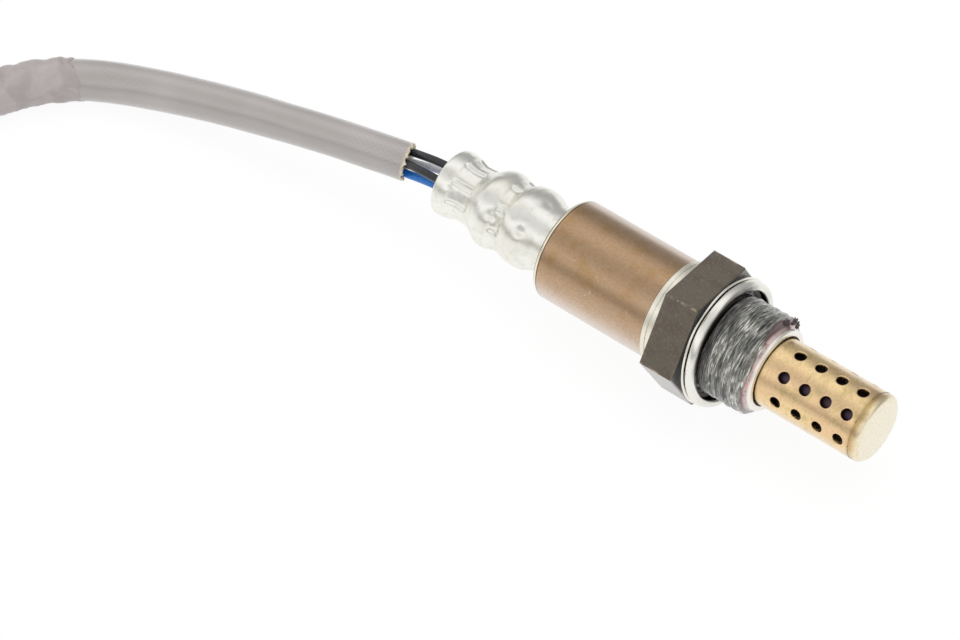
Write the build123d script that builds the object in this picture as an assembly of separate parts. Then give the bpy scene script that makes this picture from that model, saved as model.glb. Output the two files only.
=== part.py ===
from build123d import *
import os
from math import cos, pi, radians, sin, tan

# Heated oxygen sensor: a screw-in steel shell with a perforated protector, a crimped rear tube
# and a four-wire lead that ends in a sealed connector.
# Millimetres. The sensor's axis is X and its tip points along +X. X = 0 is the sealing face of
# the gasket, and +Z is up. The sensor lies on its side, on the rim of its gasket.

# ---- driving dimensions: shell and gasket --------------------------------------------------
HEX_FLATS = 22.0            # across flats
HEX_LENGTH = 6.4
HEX_EDGE = 0.25             # chamfer on the front edges
WASHER_FACE_R = 10.8
WASHER_FACE_LENGTH = 1.0
THREAD_R = 9.0              # major radius of M18 x 1.5
THREAD_END = 6.2            # last full turn, from the sealing face
THREAD_LEAD_IN = 0.35
THREAD_RELIEF_R = 8.1       # undercut under the gasket
NOSE_X = 7.8                # end face of the shell
NOSE_R = 7.45
NOSE_POCKET = 2.8           # depth of the protectors' flange behind the nose
GASKET_R = 11.4
GASKET_LENGTH = 2.8
GASKET_FLANGE = 0.75
GASKET_FLANGE_ROUND = 0.25
GASKET_BEAD_R = 11.15
GASKET_BEAD_ROUND = 0.6
GASKET_BEAD_DEPTH = 1.45    # from the bead's outside to its open side
GASKET_BORE_R = 9.3
GASKET_SHEET = 0.5
GASKET_GAP = 0.1            # open fold between the flange and the bead
GASKET_FOLD_REACH = 0.3     # fold's start, outside the bead's open side
TAB_COUNT = 3
FIRST_TAB_ANGLE = 58.0      # from +Y towards +Z
TAB_WIDTH = 1.6
TAB_SET_BACK = 0.25         # below the sealing face
TAB_REACH_R = 8.7           # tabs reach in behind the thread, so the gasket can't fall off

# ---- driving dimensions: protectors --------------------------------------------------------
PROTECTOR_R = 6.05
PROTECTOR_WALL = 0.4
PROTECTOR_TIP_X = 28.0
PROTECTOR_CORNER = 1.0
CUP_SPACING = 0.95          # between the outer cup's bore and the inner cup
INNER_TIP_GAP = 2.4         # between the two cups' end walls
FLANGE_R = 6.9
FLANGE_CLEARANCE = 0.05
HOLE_R = 1.0
HOLE_ROWS = 4
HOLE_COLUMNS = 8
HOLE_PITCH = 4.12
LAST_HOLE_FROM_TIP = 3.64
FIRST_COLUMN_ANGLE = 41.1   # from +Z towards -Y
INNER_HOLE_R = 0.8
INNER_HOLE_ROWS = 3

# ---- driving dimensions: collar, body sleeve, rear tube ------------------------------------
COLLAR_R = 9.3
COLLAR_LENGTH = 2.7
COLLAR_ROUND = 0.2
COLLAR_GROOVE = 0.15
COLLAR_GROOVE_X = 0.85      # from the collar's rear face
COLLAR_GROOVE_WIDTH = 0.2
SLEEVE_R = 9.0
SLEEVE_WALL = 0.6
SLEEVE_LENGTH = 22.8
SLEEVE_CORNER = 0.9
NECK_R = 5.95
NECK_CLEARANCE = 0.1
TUBE_WALL = 0.5
TUBE_LENGTH = 24.4          # from the body sleeve's rear face to the tube's rear lip
NECK_LENGTH = 3.2
FRONT_BULGE = (7.3, 7.15)   # distance behind the body sleeve, radius
WAIST = (10.7, 6.22)
REAR_BULGE = (13.8, 7.0)
CRIMP = (19.1, 5.05)
FLARE = (23.4, 5.95)
LIP_R = 5.4
JAWS = 8                    # crimping jaws around the tube
JAW_WIDTH = 2.2
JAW_BITE = 0.15

# ---- driving dimensions: inside the shell --------------------------------------------------
SHELL_BORE_R = 6.3
SHELL_FRONT_BORE_R = 4.9
SEAT_DEPTH = 2.0            # seat's wide edge, behind the gasket
SEAT_WASHER = 0.5
ELEMENT_FLANGE_R = 6.2
ELEMENT_FLANGE_LENGTH = 3.6
ELEMENT_BODY_R = 4.4
ELEMENT_LENGTH_BEHIND = 15.0
ELEMENT_SHOULDER_R = 4.3
ELEMENT_ROOT_R = 3.4
ELEMENT_ROOT_LENGTH = 3.0
ELEMENT_TIP_R = 2.5
ELEMENT_TIP_GAP = 2.2       # between its tip and the inner cup
ELEMENT_BORE_R = 2.1
ELEMENT_BORE_STEP = 3.0     # bore's narrow part starts this far behind the seat
ELEMENT_TIP_BORE_R = 1.75
TALC_LENGTH = 5.0
SPACER_LENGTH = 3.6
PACKING_LENGTH = 1.0
SHELL_LIP = 0.8
SHELL_LIP_R = 5.2
SHELL_NECK_LENGTH = 5.8
SHELL_TAIL_R = 7.4
FIT_GAP = 0.05
PACKING_CLEARANCE = 0.2

# ---- driving dimensions: contacts, carrier, grommet, leads ---------------------------------
HEATER_R = 1.45
HEATER_CLEARANCE = 0.25     # in the carrier's bore
HEATER_TIP_GAP = 0.4        # before the element's domed end
HEATER_TIP_CHAMFER = 0.4
HEATER_INSET = 2.1          # its rear end, in from the carrier's rear face
CLIP_WALL = 0.3
CLIP_LENGTH = 12.0          # inside the element
CLIP_GRIP = 2.6
CARRIER_R = 7.4
CARRIER_LENGTH = 9.1
CARRIER_RECESS = 1.6
CARRIER_RECESS_R = 5.2
CARRIER_CHAMFER = 0.4
SPRING_LENGTH = 3.0
SPRING_SLOTS = 8
SPRING_SLOT_LENGTH = 2.0
SPRING_SLOT_WIDTH = 0.8
STEM_HOLE_R = 0.85
STEM_RADIUS = 3.4           # stems' distance from the axis
STEM_WIDTH = 1.2
STEM_THICK = 0.5
LINK_GAP = 0.2
CLIP_SHELL_GAP = 0.5        # between the outer clip and the shell's lip
TERMINAL_INSET = 0.4        # heater terminals' links, in from the carrier's front
BARREL_R = 1.1
BARREL_LENGTH = 2.9
BARREL_BEHIND = 1.5         # barrel's front, behind the carrier
LEAD_R = 0.7
LEAD_RADIUS = 2.1           # leads' distance from the axis in the grommet
MOUTH_LEAD_RADIUS = 1.9
MOUTH_TWIST = -18.0
GROMMET_LENGTH = 12.3
GROMMET_INSET = 0.6
VENT_R = 1.0
VENT_LENGTH = 9.2
LEAD_STRAIGHT = 1.2         # leads run level this far behind their barrels
LEAD_DRAW_IN = 3.4          # and draw in to the grommet's holes over this length
LEAD_RELEASE = 3.5          # and stay level this far behind the grommet
LEAD_ANGLES = {"lead_black_1": 66.0, "lead_black_2": 156.0, "lead_blue": 246.0, "lead_white": 336.0}

# ---- driving dimensions: cord, coil, tie ---------------------------------------------------
CORD_R = 3.5
MOUTH_BORE_R = 2.8
TAPE_R = 4.2
COIL_CENTRE = (-189.8, -44.0)
COIL_START_R = 42.5
COIL_PITCH = 7.0
COIL_HEIGHT = 7.4           # a little more than the cord, so that its end runs in cleanly
COIL_START_ANGLE = -20.0
COIL_TURNS = 1.25
TIE_ANGLE = -65.0
TIE_WIDTH = 4.0
TIE_THICK = 0.8
BUNDLE_RUNS = (6.0, 10.0, 10.0, 8.0)    # leads between the coil and the connector
BUNDLE_TURN = -40.0         # between one run and the next
BUNDLE_SPREAD = 1.05        # leads' distance from the bundle's middle where it leaves the cord

# ---- driving dimensions: connector ---------------------------------------------------------
PLUG_LENGTH = 30.0
PLUG_WIDTH = 18.0
PLUG_HEIGHT = 14.0
PLUG_NOSE_LENGTH = 12.0
PLUG_STEP = 1.0
PLUG_CORNER = 2.0
LEAD_CAVITIES = {
    "lead_black_1": (1, 1), "lead_black_2": (-1, 1), "lead_blue": (1, -1), "lead_white": (-1, -1),
}
CAVITY_SIDE = 2.6
CAVITY_Y = 2.5
CAVITY_Z = 2.3
SEAL_POCKET = 5.0
SEAL_WIDTH = 13.0
SEAL_HEIGHT = 9.6
COVER_THICK = 1.5
COVER_EDGE = 1.0
COVER_CLEARANCE = 0.3       # round each lead
LOCK_DEPTH = 1.8
LOCK_WIDTH = 10.0
LOCK_HEIGHT = 8.6
TERMINAL_SIDE = 2.4
TERMINAL_WALL = 0.48
TERMINAL_FLOOR = 1.0
TERMINAL_LENGTH = 9.0
CRIMP_GAP = 0.3             # between the seal and the terminals' crimps
LEAD_BEYOND_SEAL = 1.5      # length of lead inside a crimp, measured from the seal
RIB_HEIGHT = 1.6
RIB_BACK = 3.0
RIB_FRONT_GAP = 4.0
LATCH_FOOT_X = 9.0
LATCH_FOOT_LENGTH = 2.0
LATCH_FOOT_DEPTH = 1.0      # rooted this far in the body
LATCH_BEHIND_FOOT = 4.0
LATCH_LENGTH = 15.0
LATCH_WIDTH = 6.0
LATCH_THICK = 1.3
LATCH_RISE = 2.6

# ---- stations along the axis, worked out from the sizes above ------------------------------
FLOOR_Z = -GASKET_R
GASKET_BACK = -GASKET_LENGTH
HEX_FRONT = GASKET_BACK - WASHER_FACE_LENGTH
HEX_BACK = HEX_FRONT - HEX_LENGTH
COLLAR_BACK = HEX_BACK - COLLAR_LENGTH
SLEEVE_BACK = COLLAR_BACK - SLEEVE_LENGTH
SLEEVE_BORE_R = SLEEVE_R - SLEEVE_WALL
TUBE_BACK = SLEEVE_BACK - TUBE_LENGTH
FLANGE_FRONT = NOSE_X - NOSE_POCKET
FLANGE_SEAT = FLANGE_FRONT - 2 * PROTECTOR_WALL
INNER_TIP_X = PROTECTOR_TIP_X - PROTECTOR_WALL - INNER_TIP_GAP
INNER_PROTECTOR_R = PROTECTOR_R - PROTECTOR_WALL - CUP_SPACING
SEAT_BACK = GASKET_BACK - SEAT_DEPTH
FLANGE_BACK = SEAT_BACK - SEAT_WASHER + SHELL_BORE_R - ELEMENT_FLANGE_R - ELEMENT_FLANGE_LENGTH
TALC_BACK = FLANGE_BACK - TALC_LENGTH
SPACER_BACK = TALC_BACK - SPACER_LENGTH
PACKING_BACK = SPACER_BACK - PACKING_LENGTH
SHELL_BACK = PACKING_BACK - SHELL_LIP
ELEMENT_BACK = FLANGE_BACK - ELEMENT_LENGTH_BEHIND
CARRIER_BACK = SLEEVE_BACK + 2 * SLEEVE_WALL
CARRIER_FRONT = CARRIER_BACK + CARRIER_LENGTH
BARREL_FRONT = CARRIER_BACK - BARREL_BEHIND
BARREL_BACK = BARREL_FRONT - BARREL_LENGTH
GROMMET_BACK = TUBE_BACK + GROMMET_INSET
GROMMET_FRONT = GROMMET_BACK + GROMMET_LENGTH
PLUG_CENTRE_Z = FLOOR_Z + PLUG_HEIGHT / 2

# The cord's route, chosen point by point: level out of the grommet, down to the table, round
# to one side and on to the coil.
CORD_ROUTE = [
    (-69.6, -0.3, -1.2),
    (-80.8, -2.4, -1.7),
    (-92.5, -4.6, -3.0),
    (-104.0, -6.5, -4.7),
    (-114.6, -9.0, -6.2),
    (-124.4, -12.4, -7.1),
    (-133.0, -17.6, -7.2),
    (-139.0, -25.8, -7.2),
    (-142.6, -36.0, -7.2),
    (-145.8, -47.0, -7.4),
    (-149.86, -58.54, -7.7),
]
TAPE_FIRST_CORNER = 6       # the tape runs from the middle of the run before this corner
TAPE_LAST_CORNER = 7        # to the middle of the run after this one


def turned(*outline):
    """Solid of revolution about the sensor's axis from a closed outline of (x, radius) points."""
    return revolve(make_face(Polyline(*outline, close=True)), Axis.X)


def ring(x_back, x_front, inner_r, outer_r):
    """Plain ring about the sensor's axis."""
    return turned((x_back, inner_r), (x_front, inner_r), (x_front, outer_r), (x_back, outer_r))


def rod(x_back, x_front, radius, y=0.0, z=0.0):
    """Cylinder parallel to the sensor's axis."""
    length = x_front - x_back
    return Pos((x_back + x_front) / 2, y, z) * Rot(0, 90, 0) * Cylinder(radius, length)


def around_axis(angle):
    """Turn about the sensor's axis: zero is +Y and 90 is +Z."""
    return Rot(angle, 0, 0)


def widest_edges(body):
    """Circular edges of the largest radius."""
    return body.edges().filter_by(GeomType.CIRCLE).group_by(SortBy.RADIUS)[-1]


def polar(angle, radius):
    """Y and Z of a point at an angle round the axis, from +Y towards +Z."""
    return radius * cos(radians(angle)), radius * sin(radians(angle))


def corner_radii(route):
    """Largest even arc for each corner: 0.45 of its shorter run over the tangent of half the turn."""
    points = [Vector(*p) for p in route]
    radii = []
    for before, corner, after in zip(points, points[1:], points[2:]):
        turn = radians((corner - before).get_angle(after - corner))
        shorter = min((corner - before).length, (after - corner).length)
        radii.append(0.45 * shorter / tan(turn / 2))
    return radii


def tube_along(route, radius, radii=None):
    """Round bar along straight runs joined by tangent arcs."""
    path = FilletPolyline(*route, radius=radii or corner_radii(route))
    start = Plane(path @ 0, z_dir=path % 0)
    return sweep(start * Circle(radius), path=path)


# ---- shell and gasket ----------------------------------------------------------------------

def hex_housing():
    """Turned shell: hexagon, washer face, thread's major cylinder, nose and stepped bore."""
    hexagon = RegularPolygon(HEX_FLATS / 2, 6, major_radius=False, rotation=30)
    prism = Pos(HEX_BACK, 0, 0) * Rot(0, 90, 0) * extrude(hexagon, HEX_LENGTH)
    front_edges = prism.faces().sort_by(Axis.X)[-1].edges()
    body = chamfer(front_edges, HEX_EDGE)
    body += ring(HEX_FRONT - 1.0, GASKET_BACK, SHELL_FRONT_BORE_R, WASHER_FACE_R)
    body += turned(
        (HEX_FRONT, 0),
        (HEX_FRONT, THREAD_RELIEF_R),
        (0, THREAD_RELIEF_R),
        (0, THREAD_R),
        (THREAD_END, THREAD_R),
        (THREAD_END + THREAD_LEAD_IN, THREAD_R - THREAD_LEAD_IN),
        (NOSE_X, NOSE_R),
        (NOSE_X, 0),
    )
    neck_back = HEX_BACK - SHELL_NECK_LENGTH
    body += rod(neck_back, HEX_BACK, SLEEVE_BORE_R)
    body += rod(SHELL_BACK, neck_back, SHELL_TAIL_R)
    seat_front = SEAT_BACK + SHELL_BORE_R - SHELL_FRONT_BORE_R
    return body - turned(
        (SHELL_BACK, 0),
        (SHELL_BACK, SHELL_LIP_R),
        (PACKING_BACK, SHELL_LIP_R),
        (PACKING_BACK, SHELL_BORE_R),
        (SEAT_BACK, SHELL_BORE_R),
        (seat_front, SHELL_FRONT_BORE_R),
        (FLANGE_SEAT, SHELL_FRONT_BORE_R),
        (FLANGE_SEAT, FLANGE_R + FLANGE_CLEARANCE),
        (FLANGE_FRONT, FLANGE_R + FLANGE_CLEARANCE),
        (FLANGE_FRONT, PROTECTOR_R + FLANGE_CLEARANCE),
        (NOSE_X, PROTECTOR_R + FLANGE_CLEARANCE),
        (NOSE_X, 0),
    )


def seal_gasket():
    """Folded steel ring: a flat flange, a hollow bead open to the inside and staked tabs."""
    flange_front = GASKET_BACK + GASKET_FLANGE
    bead_back = flange_front + GASKET_GAP
    bead_bore_r = GASKET_BEAD_R - GASKET_BEAD_DEPTH
    flange = ring(GASKET_BACK, flange_front, GASKET_BORE_R, GASKET_R)
    flange = fillet(widest_edges(flange), GASKET_FLANGE_ROUND)
    bead = ring(bead_back, 0, bead_bore_r, GASKET_BEAD_R)
    bead = fillet(widest_edges(bead), GASKET_BEAD_ROUND)
    fold = ring(flange_front, bead_back, bead_bore_r + GASKET_FOLD_REACH, GASKET_BEAD_R - GASKET_SHEET)
    hollow = ring(bead_back + GASKET_SHEET, -GASKET_SHEET, bead_bore_r, GASKET_BEAD_R - GASKET_SHEET)
    body = flange + fold + bead - hollow
    tab_height = bead_bore_r + GASKET_SHEET / 2 - TAB_REACH_R
    for i in range(TAB_COUNT):
        tab = Box(GASKET_SHEET, tab_height, TAB_WIDTH)
        place = Pos(-TAB_SET_BACK - GASKET_SHEET / 2, TAB_REACH_R + tab_height / 2, 0)
        body += around_axis(FIRST_TAB_ANGLE + i * 360 / TAB_COUNT) * place * tab
    return body


# ---- protectors ----------------------------------------------------------------------------

def cup(radius, flange_back, tip_x, corner):
    """Drawn cup with an outward flange at its open end and a rounded closed end."""
    inner_r = radius - PROTECTOR_WALL
    inner_corner = max(corner - PROTECTOR_WALL, 0.2)
    outline = Polyline(
        (flange_back, inner_r),
        (flange_back, FLANGE_R),
        (flange_back + PROTECTOR_WALL, FLANGE_R),
        (flange_back + PROTECTOR_WALL, radius),
        (tip_x - corner, radius),
    )
    round_end = RadiusArc((tip_x - corner, radius), (tip_x, radius - corner), corner)
    end = Polyline((tip_x, radius - corner), (tip_x, 0), (tip_x - PROTECTOR_WALL, 0),
                   (tip_x - PROTECTOR_WALL, inner_r - inner_corner))
    inner_round = RadiusArc((tip_x - PROTECTOR_WALL, inner_r - inner_corner),
                            (tip_x - PROTECTOR_WALL - inner_corner, inner_r), -inner_corner)
    back = Line((tip_x - PROTECTOR_WALL - inner_corner, inner_r), (flange_back, inner_r))
    return revolve(make_face([outline, round_end, end, inner_round, back]), Axis.X)


def radial_drills(x, radius, first_angle, count):
    """Drills that cross the axis, each making a pair of opposite holes."""
    drills = []
    for i in range(count // 2):
        drill = Pos(x, 0, 0) * Cylinder(radius, 4 * PROTECTOR_R)
        drills.append(around_axis(first_angle + i * 360 / count) * drill)
    return drills


def outer_protector():
    """Outer cup with its grid of gas holes."""
    body = cup(PROTECTOR_R, FLANGE_FRONT - PROTECTOR_WALL, PROTECTOR_TIP_X, PROTECTOR_CORNER)
    last_row = PROTECTOR_TIP_X - LAST_HOLE_FROM_TIP
    for row in range(HOLE_ROWS):
        drills = radial_drills(last_row - row * HOLE_PITCH, HOLE_R, FIRST_COLUMN_ANGLE, HOLE_COLUMNS)
        body -= drills
    return body


def inner_protector():
    """Inner cup: its holes lie between the outer cup's rows and columns."""
    body = cup(INNER_PROTECTOR_R, FLANGE_SEAT, INNER_TIP_X, PROTECTOR_CORNER)
    last_row = PROTECTOR_TIP_X - LAST_HOLE_FROM_TIP - HOLE_PITCH / 2
    between = FIRST_COLUMN_ANGLE + 180 / HOLE_COLUMNS
    for row in range(INNER_HOLE_ROWS):
        body -= radial_drills(last_row - row * HOLE_PITCH, INNER_HOLE_R, between, HOLE_COLUMNS)
    return body


# ---- collar, body sleeve, rear tube --------------------------------------------------------

def collar_ring():
    """Ring between the hexagon and the body sleeve, with a fine groove round it."""
    body = ring(COLLAR_BACK, HEX_BACK, SLEEVE_BORE_R, COLLAR_R)
    body = fillet(widest_edges(body), COLLAR_ROUND)
    groove_x = COLLAR_BACK + COLLAR_GROOVE_X
    return body - ring(groove_x, groove_x + COLLAR_GROOVE_WIDTH, COLLAR_R - COLLAR_GROOVE, COLLAR_R + 1)


def body_sleeve():
    """Drawn sleeve whose rear end is rolled inwards round the neck of the rear tube."""
    bore_r = SLEEVE_BORE_R
    opening_r = NECK_R + NECK_CLEARANCE
    inner_face = SLEEVE_BACK + SLEEVE_WALL
    inner_corner = SLEEVE_CORNER - SLEEVE_WALL
    side = Polyline((inner_face + inner_corner, bore_r), (COLLAR_BACK, bore_r), (COLLAR_BACK, SLEEVE_R),
                    (SLEEVE_BACK + SLEEVE_CORNER, SLEEVE_R))
    round_end = RadiusArc((SLEEVE_BACK + SLEEVE_CORNER, SLEEVE_R),
                          (SLEEVE_BACK, SLEEVE_R - SLEEVE_CORNER), -SLEEVE_CORNER)
    end = Polyline((SLEEVE_BACK, SLEEVE_R - SLEEVE_CORNER), (SLEEVE_BACK, opening_r),
                   (inner_face, opening_r), (inner_face, bore_r - inner_corner))
    inner_round = RadiusArc((inner_face, bore_r - inner_corner),
                            (inner_face + inner_corner, bore_r), inner_corner)
    return revolve(make_face([side, round_end, end, inner_round]), Axis.X)


def tube_profile(inset):
    """Wavy side of the rear tube from its lip to its neck, moved in by a wall."""
    stations = [FLARE, CRIMP, REAR_BULGE, WAIST, FRONT_BULGE, (NECK_LENGTH, NECK_R)]
    points = [(SLEEVE_BACK - distance, radius - inset) for distance, radius in stations]
    lip = Line((TUBE_BACK, LIP_R - inset), points[0])
    wave = Spline(*points, tangents=[(1, 0)] * len(points))
    return lip, wave


def tube_blank(inset, x_front):
    """Solid body of revolution inside the rear tube's profile."""
    lip, wave = tube_profile(inset)
    rest = Polyline(wave @ 1, (x_front, NECK_R - inset), (x_front, 0), (TUBE_BACK, 0), lip @ 0)
    return revolve(make_face([lip, wave, rest]), Axis.X)


def rear_tube():
    """Crimped tube: waves squeezed by eight jaws and a front flange inside the body sleeve."""
    inner_face = SLEEVE_BACK + SLEEVE_WALL
    flange_front = inner_face + SLEEVE_WALL
    flange_r = SLEEVE_BORE_R - FIT_GAP - (SLEEVE_CORNER - SLEEVE_WALL)
    body = tube_blank(0, flange_front)
    body += rod(inner_face, flange_front, flange_r)
    for distance, radius in (CRIMP, WAIST):
        for i in range(JAWS):
            jaw = Box(JAW_WIDTH, 2, 2 * radius)
            place = Pos(SLEEVE_BACK - distance, radius - JAW_BITE + 1, 0)
            body -= around_axis(i * 360 / JAWS) * place * jaw
    return body - tube_blank(TUBE_WALL, flange_front)


# ---- inside the shell ----------------------------------------------------------------------

def seat_line(radius):
    """X of the element's conical seat at a radius."""
    return SEAT_BACK - SEAT_WASHER + SHELL_BORE_R - radius


def sensing_element():
    """Closed ceramic thimble with a seat flange, open at its rear."""
    tip_x = INNER_TIP_X - PROTECTOR_WALL - ELEMENT_TIP_GAP
    outline = Polyline(
        (ELEMENT_BACK, 0),
        (ELEMENT_BACK, ELEMENT_BODY_R),
        (FLANGE_BACK, ELEMENT_BODY_R),
        (FLANGE_BACK, ELEMENT_FLANGE_R),
        (seat_line(ELEMENT_FLANGE_R), ELEMENT_FLANGE_R),
        (seat_line(ELEMENT_SHOULDER_R), ELEMENT_SHOULDER_R),
        (seat_line(ELEMENT_ROOT_R) + ELEMENT_ROOT_LENGTH, ELEMENT_ROOT_R),
        (tip_x - ELEMENT_TIP_R, ELEMENT_TIP_R),
    )
    nose = RadiusArc((tip_x - ELEMENT_TIP_R, ELEMENT_TIP_R), (tip_x, 0), ELEMENT_TIP_R)
    axis = Line((tip_x, 0), (ELEMENT_BACK, 0))
    body = revolve(make_face([outline, nose, axis]), Axis.X)
    wall = ELEMENT_TIP_R - ELEMENT_TIP_BORE_R
    body -= rod(ELEMENT_BACK, seat_line(ELEMENT_SHOULDER_R) - ELEMENT_BORE_STEP, ELEMENT_BORE_R)
    body -= rod(ELEMENT_BACK, tip_x - wall - ELEMENT_TIP_BORE_R, ELEMENT_TIP_BORE_R)
    return body


def heater_rod():
    """Ceramic heater down the middle of the element, with a chamfered front end."""
    front = INNER_TIP_X - PROTECTOR_WALL - ELEMENT_TIP_GAP - ELEMENT_TIP_R - HEATER_TIP_GAP
    body = rod(CARRIER_BACK + HEATER_INSET, front, HEATER_R)
    return chamfer(widest_edges(body).sort_by(Axis.X)[-1], HEATER_TIP_CHAMFER)


def seat_washer():
    """Soft metal washer between the shell's conical seat and the element."""
    back = SEAT_BACK - SEAT_WASHER
    step = SHELL_BORE_R - SHELL_FRONT_BORE_R
    return turned(
        (back, SHELL_BORE_R),
        (back + step, SHELL_FRONT_BORE_R),
        (SEAT_BACK + step, SHELL_FRONT_BORE_R),
        (SEAT_BACK, SHELL_BORE_R),
    )


def talc_seal():
    """Pressed powder ring that seals the element in the shell."""
    return ring(TALC_BACK, FLANGE_BACK, ELEMENT_BODY_R, SHELL_BORE_R)


def ceramic_spacer():
    """Ring that passes the crimping force to the powder."""
    return ring(SPACER_BACK, TALC_BACK, ELEMENT_BODY_R + FIT_GAP, SHELL_BORE_R - FIT_GAP)


def packing_ring():
    """Metal ring under the shell's rolled lip."""
    return ring(PACKING_BACK, SPACER_BACK, ELEMENT_BODY_R + PACKING_CLEARANCE, SHELL_BORE_R)


# ---- contacts and carrier ------------------------------------------------------------------

def stem(angle, x_front, link_inner_r):
    """Stem through the carrier with a radial link at its front and a crimp barrel at its rear."""
    outer_r = STEM_RADIUS + STEM_THICK / 2
    link_height = outer_r - link_inner_r
    link = Pos(x_front - STEM_THICK / 2, link_inner_r + link_height / 2, 0)
    body = link * Box(STEM_THICK, link_height, STEM_WIDTH)
    length = x_front - BARREL_FRONT
    bar = Box(length, STEM_THICK, STEM_WIDTH)
    body += Pos(x_front - length / 2, STEM_RADIUS, 0) * bar
    barrel = rod(BARREL_BACK, BARREL_FRONT + STEM_THICK, BARREL_R, STEM_RADIUS)
    body += barrel - rod(BARREL_BACK, BARREL_FRONT, LEAD_R, STEM_RADIUS)
    return around_axis(angle) * body


def link_front():
    """Front plane of the links that run between the element and the carrier."""
    return CARRIER_FRONT + LINK_GAP + STEM_THICK


def inner_contact():
    """Clip inside the element that also grips the heater, with its stem."""
    back = link_front() - STEM_THICK
    body = ring(back, ELEMENT_BACK + CLIP_LENGTH, ELEMENT_BORE_R - CLIP_WALL, ELEMENT_BORE_R)
    body += ring(back, back + CLIP_GRIP, HEATER_R, ELEMENT_BORE_R)
    return body + stem(LEAD_ANGLES["lead_blue"], link_front(), ELEMENT_BORE_R - CLIP_WALL)


def outer_contact():
    """Clip round the element's rear end, with its stem."""
    outer_r = ELEMENT_BODY_R + CLIP_WALL
    back = link_front() - STEM_THICK
    body = ring(back, SHELL_BACK - CLIP_SHELL_GAP, ELEMENT_BODY_R, outer_r)
    angle = LEAD_ANGLES["lead_white"]
    reach = outer_r - STEM_RADIUS
    tongue = Pos(back + STEM_THICK / 2, STEM_RADIUS + reach / 2, 0) * Box(STEM_THICK, reach, STEM_WIDTH)
    tongue = around_axis(angle) * tongue
    return body + tongue + stem(angle, link_front(), STEM_RADIUS - STEM_THICK / 2)


def heater_terminals():
    """Two alike terminals that press on the heater's pads."""
    x_front = CARRIER_FRONT - TERMINAL_INSET
    angles = (LEAD_ANGLES["lead_black_1"], LEAD_ANGLES["lead_black_2"])
    return Compound(children=[stem(angle, x_front, HEATER_R) for angle in angles])


def contact_carrier():
    """Ceramic carrier with a hole for each stem, a bore for the heater and a front recess."""
    body = rod(CARRIER_BACK, CARRIER_FRONT, CARRIER_R)
    body = chamfer(widest_edges(body), CARRIER_CHAMFER)
    body -= rod(CARRIER_FRONT - CARRIER_RECESS, CARRIER_FRONT, CARRIER_RECESS_R)
    body -= rod(CARRIER_BACK, CARRIER_FRONT, HEATER_R + HEATER_CLEARANCE)
    for angle in LEAD_ANGLES.values():
        body -= rod(CARRIER_BACK, CARRIER_FRONT, STEM_HOLE_R, *polar(angle, STEM_RADIUS))
    return body


def carrier_spring():
    """Slotted ring that centres the carrier in the body sleeve."""
    middle = (CARRIER_BACK + CARRIER_FRONT) / 2
    body = ring(middle - SPRING_LENGTH / 2, middle + SPRING_LENGTH / 2, CARRIER_R, SLEEVE_BORE_R)
    slot = Pos(middle, SLEEVE_BORE_R, 0) * Box(SPRING_SLOT_LENGTH, 4 * SLEEVE_WALL, SPRING_SLOT_WIDTH)
    for i in range(SPRING_SLOTS):
        body -= around_axis(i * 360 / SPRING_SLOTS) * slot
    return body


# ---- grommet and leads ---------------------------------------------------------------------

def rubber_grommet():
    """Plug squeezed by the crimps, with a hole for each lead and one for the vent."""
    body = tube_blank(TUBE_WALL, SLEEVE_BACK)
    middle = (GROMMET_BACK + GROMMET_FRONT) / 2
    body &= Pos(middle, 0, 0) * Box(GROMMET_LENGTH, 4 * NECK_R, 4 * NECK_R)
    body -= rod(GROMMET_BACK, GROMMET_FRONT, VENT_R)
    for angle in LEAD_ANGLES.values():
        body -= rod(GROMMET_BACK, GROMMET_FRONT, LEAD_R, *polar(angle, LEAD_RADIUS))
    return body


def vent_filter():
    """Porous plug that lets reference air in through the grommet."""
    return rod(GROMMET_BACK, GROMMET_BACK + VENT_LENGTH, VENT_R)


def mouth_depth():
    """How far the leads go into the cord's mouth: the straight part of its first run."""
    first, second = (Vector(*p) for p in CORD_ROUTE[:2])
    return 0.5 * (second - first).length


def sensor_lead(name):
    """Lead from its crimp barrel through the grommet and into the cord's mouth."""
    angle = LEAD_ANGLES[name]
    wide = polar(angle, STEM_RADIUS)
    narrow = polar(angle, LEAD_RADIUS)
    mouth = Vector(*CORD_ROUTE[0])
    along = (Vector(*CORD_ROUTE[1]) - mouth).normalized()
    y, z = polar(angle + MOUTH_TWIST, MOUTH_LEAD_RADIUS)
    offset = Vector(0, y, z)
    entry = mouth + offset - along * offset.dot(along)
    deep = entry + along * mouth_depth()
    route = [
        (BARREL_FRONT, *wide),
        (BARREL_BACK - LEAD_STRAIGHT, *wide),
        (BARREL_BACK - LEAD_STRAIGHT - LEAD_DRAW_IN, *narrow),
        (GROMMET_BACK - LEAD_RELEASE, *narrow),
        tuple(entry),
        tuple(deep),
    ]
    return tube_along(route, LEAD_R)


# ---- cord, tape, coil and tie --------------------------------------------------------------

def braided_sleeve():
    """Free stretch of the cord, from its open mouth to just inside the coil."""
    body = tube_along(CORD_ROUTE, CORD_R)
    mouth = Vector(*CORD_ROUTE[0])
    along = (Vector(*CORD_ROUTE[1]) - mouth).normalized()
    bore = Plane(mouth, z_dir=along) * extrude(Circle(MOUTH_BORE_R), mouth_depth())
    return body - bore


def tape_route():
    """Part of the cord's route that is wrapped, from the middle of one run to that of another."""
    points = [Vector(*p) for p in CORD_ROUTE]
    first = (points[TAPE_FIRST_CORNER - 1] + points[TAPE_FIRST_CORNER]) * 0.5
    last = (points[TAPE_LAST_CORNER] + points[TAPE_LAST_CORNER + 1]) * 0.5
    return [tuple(first), *CORD_ROUTE[TAPE_FIRST_CORNER:TAPE_LAST_CORNER + 1], tuple(last)]


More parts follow.
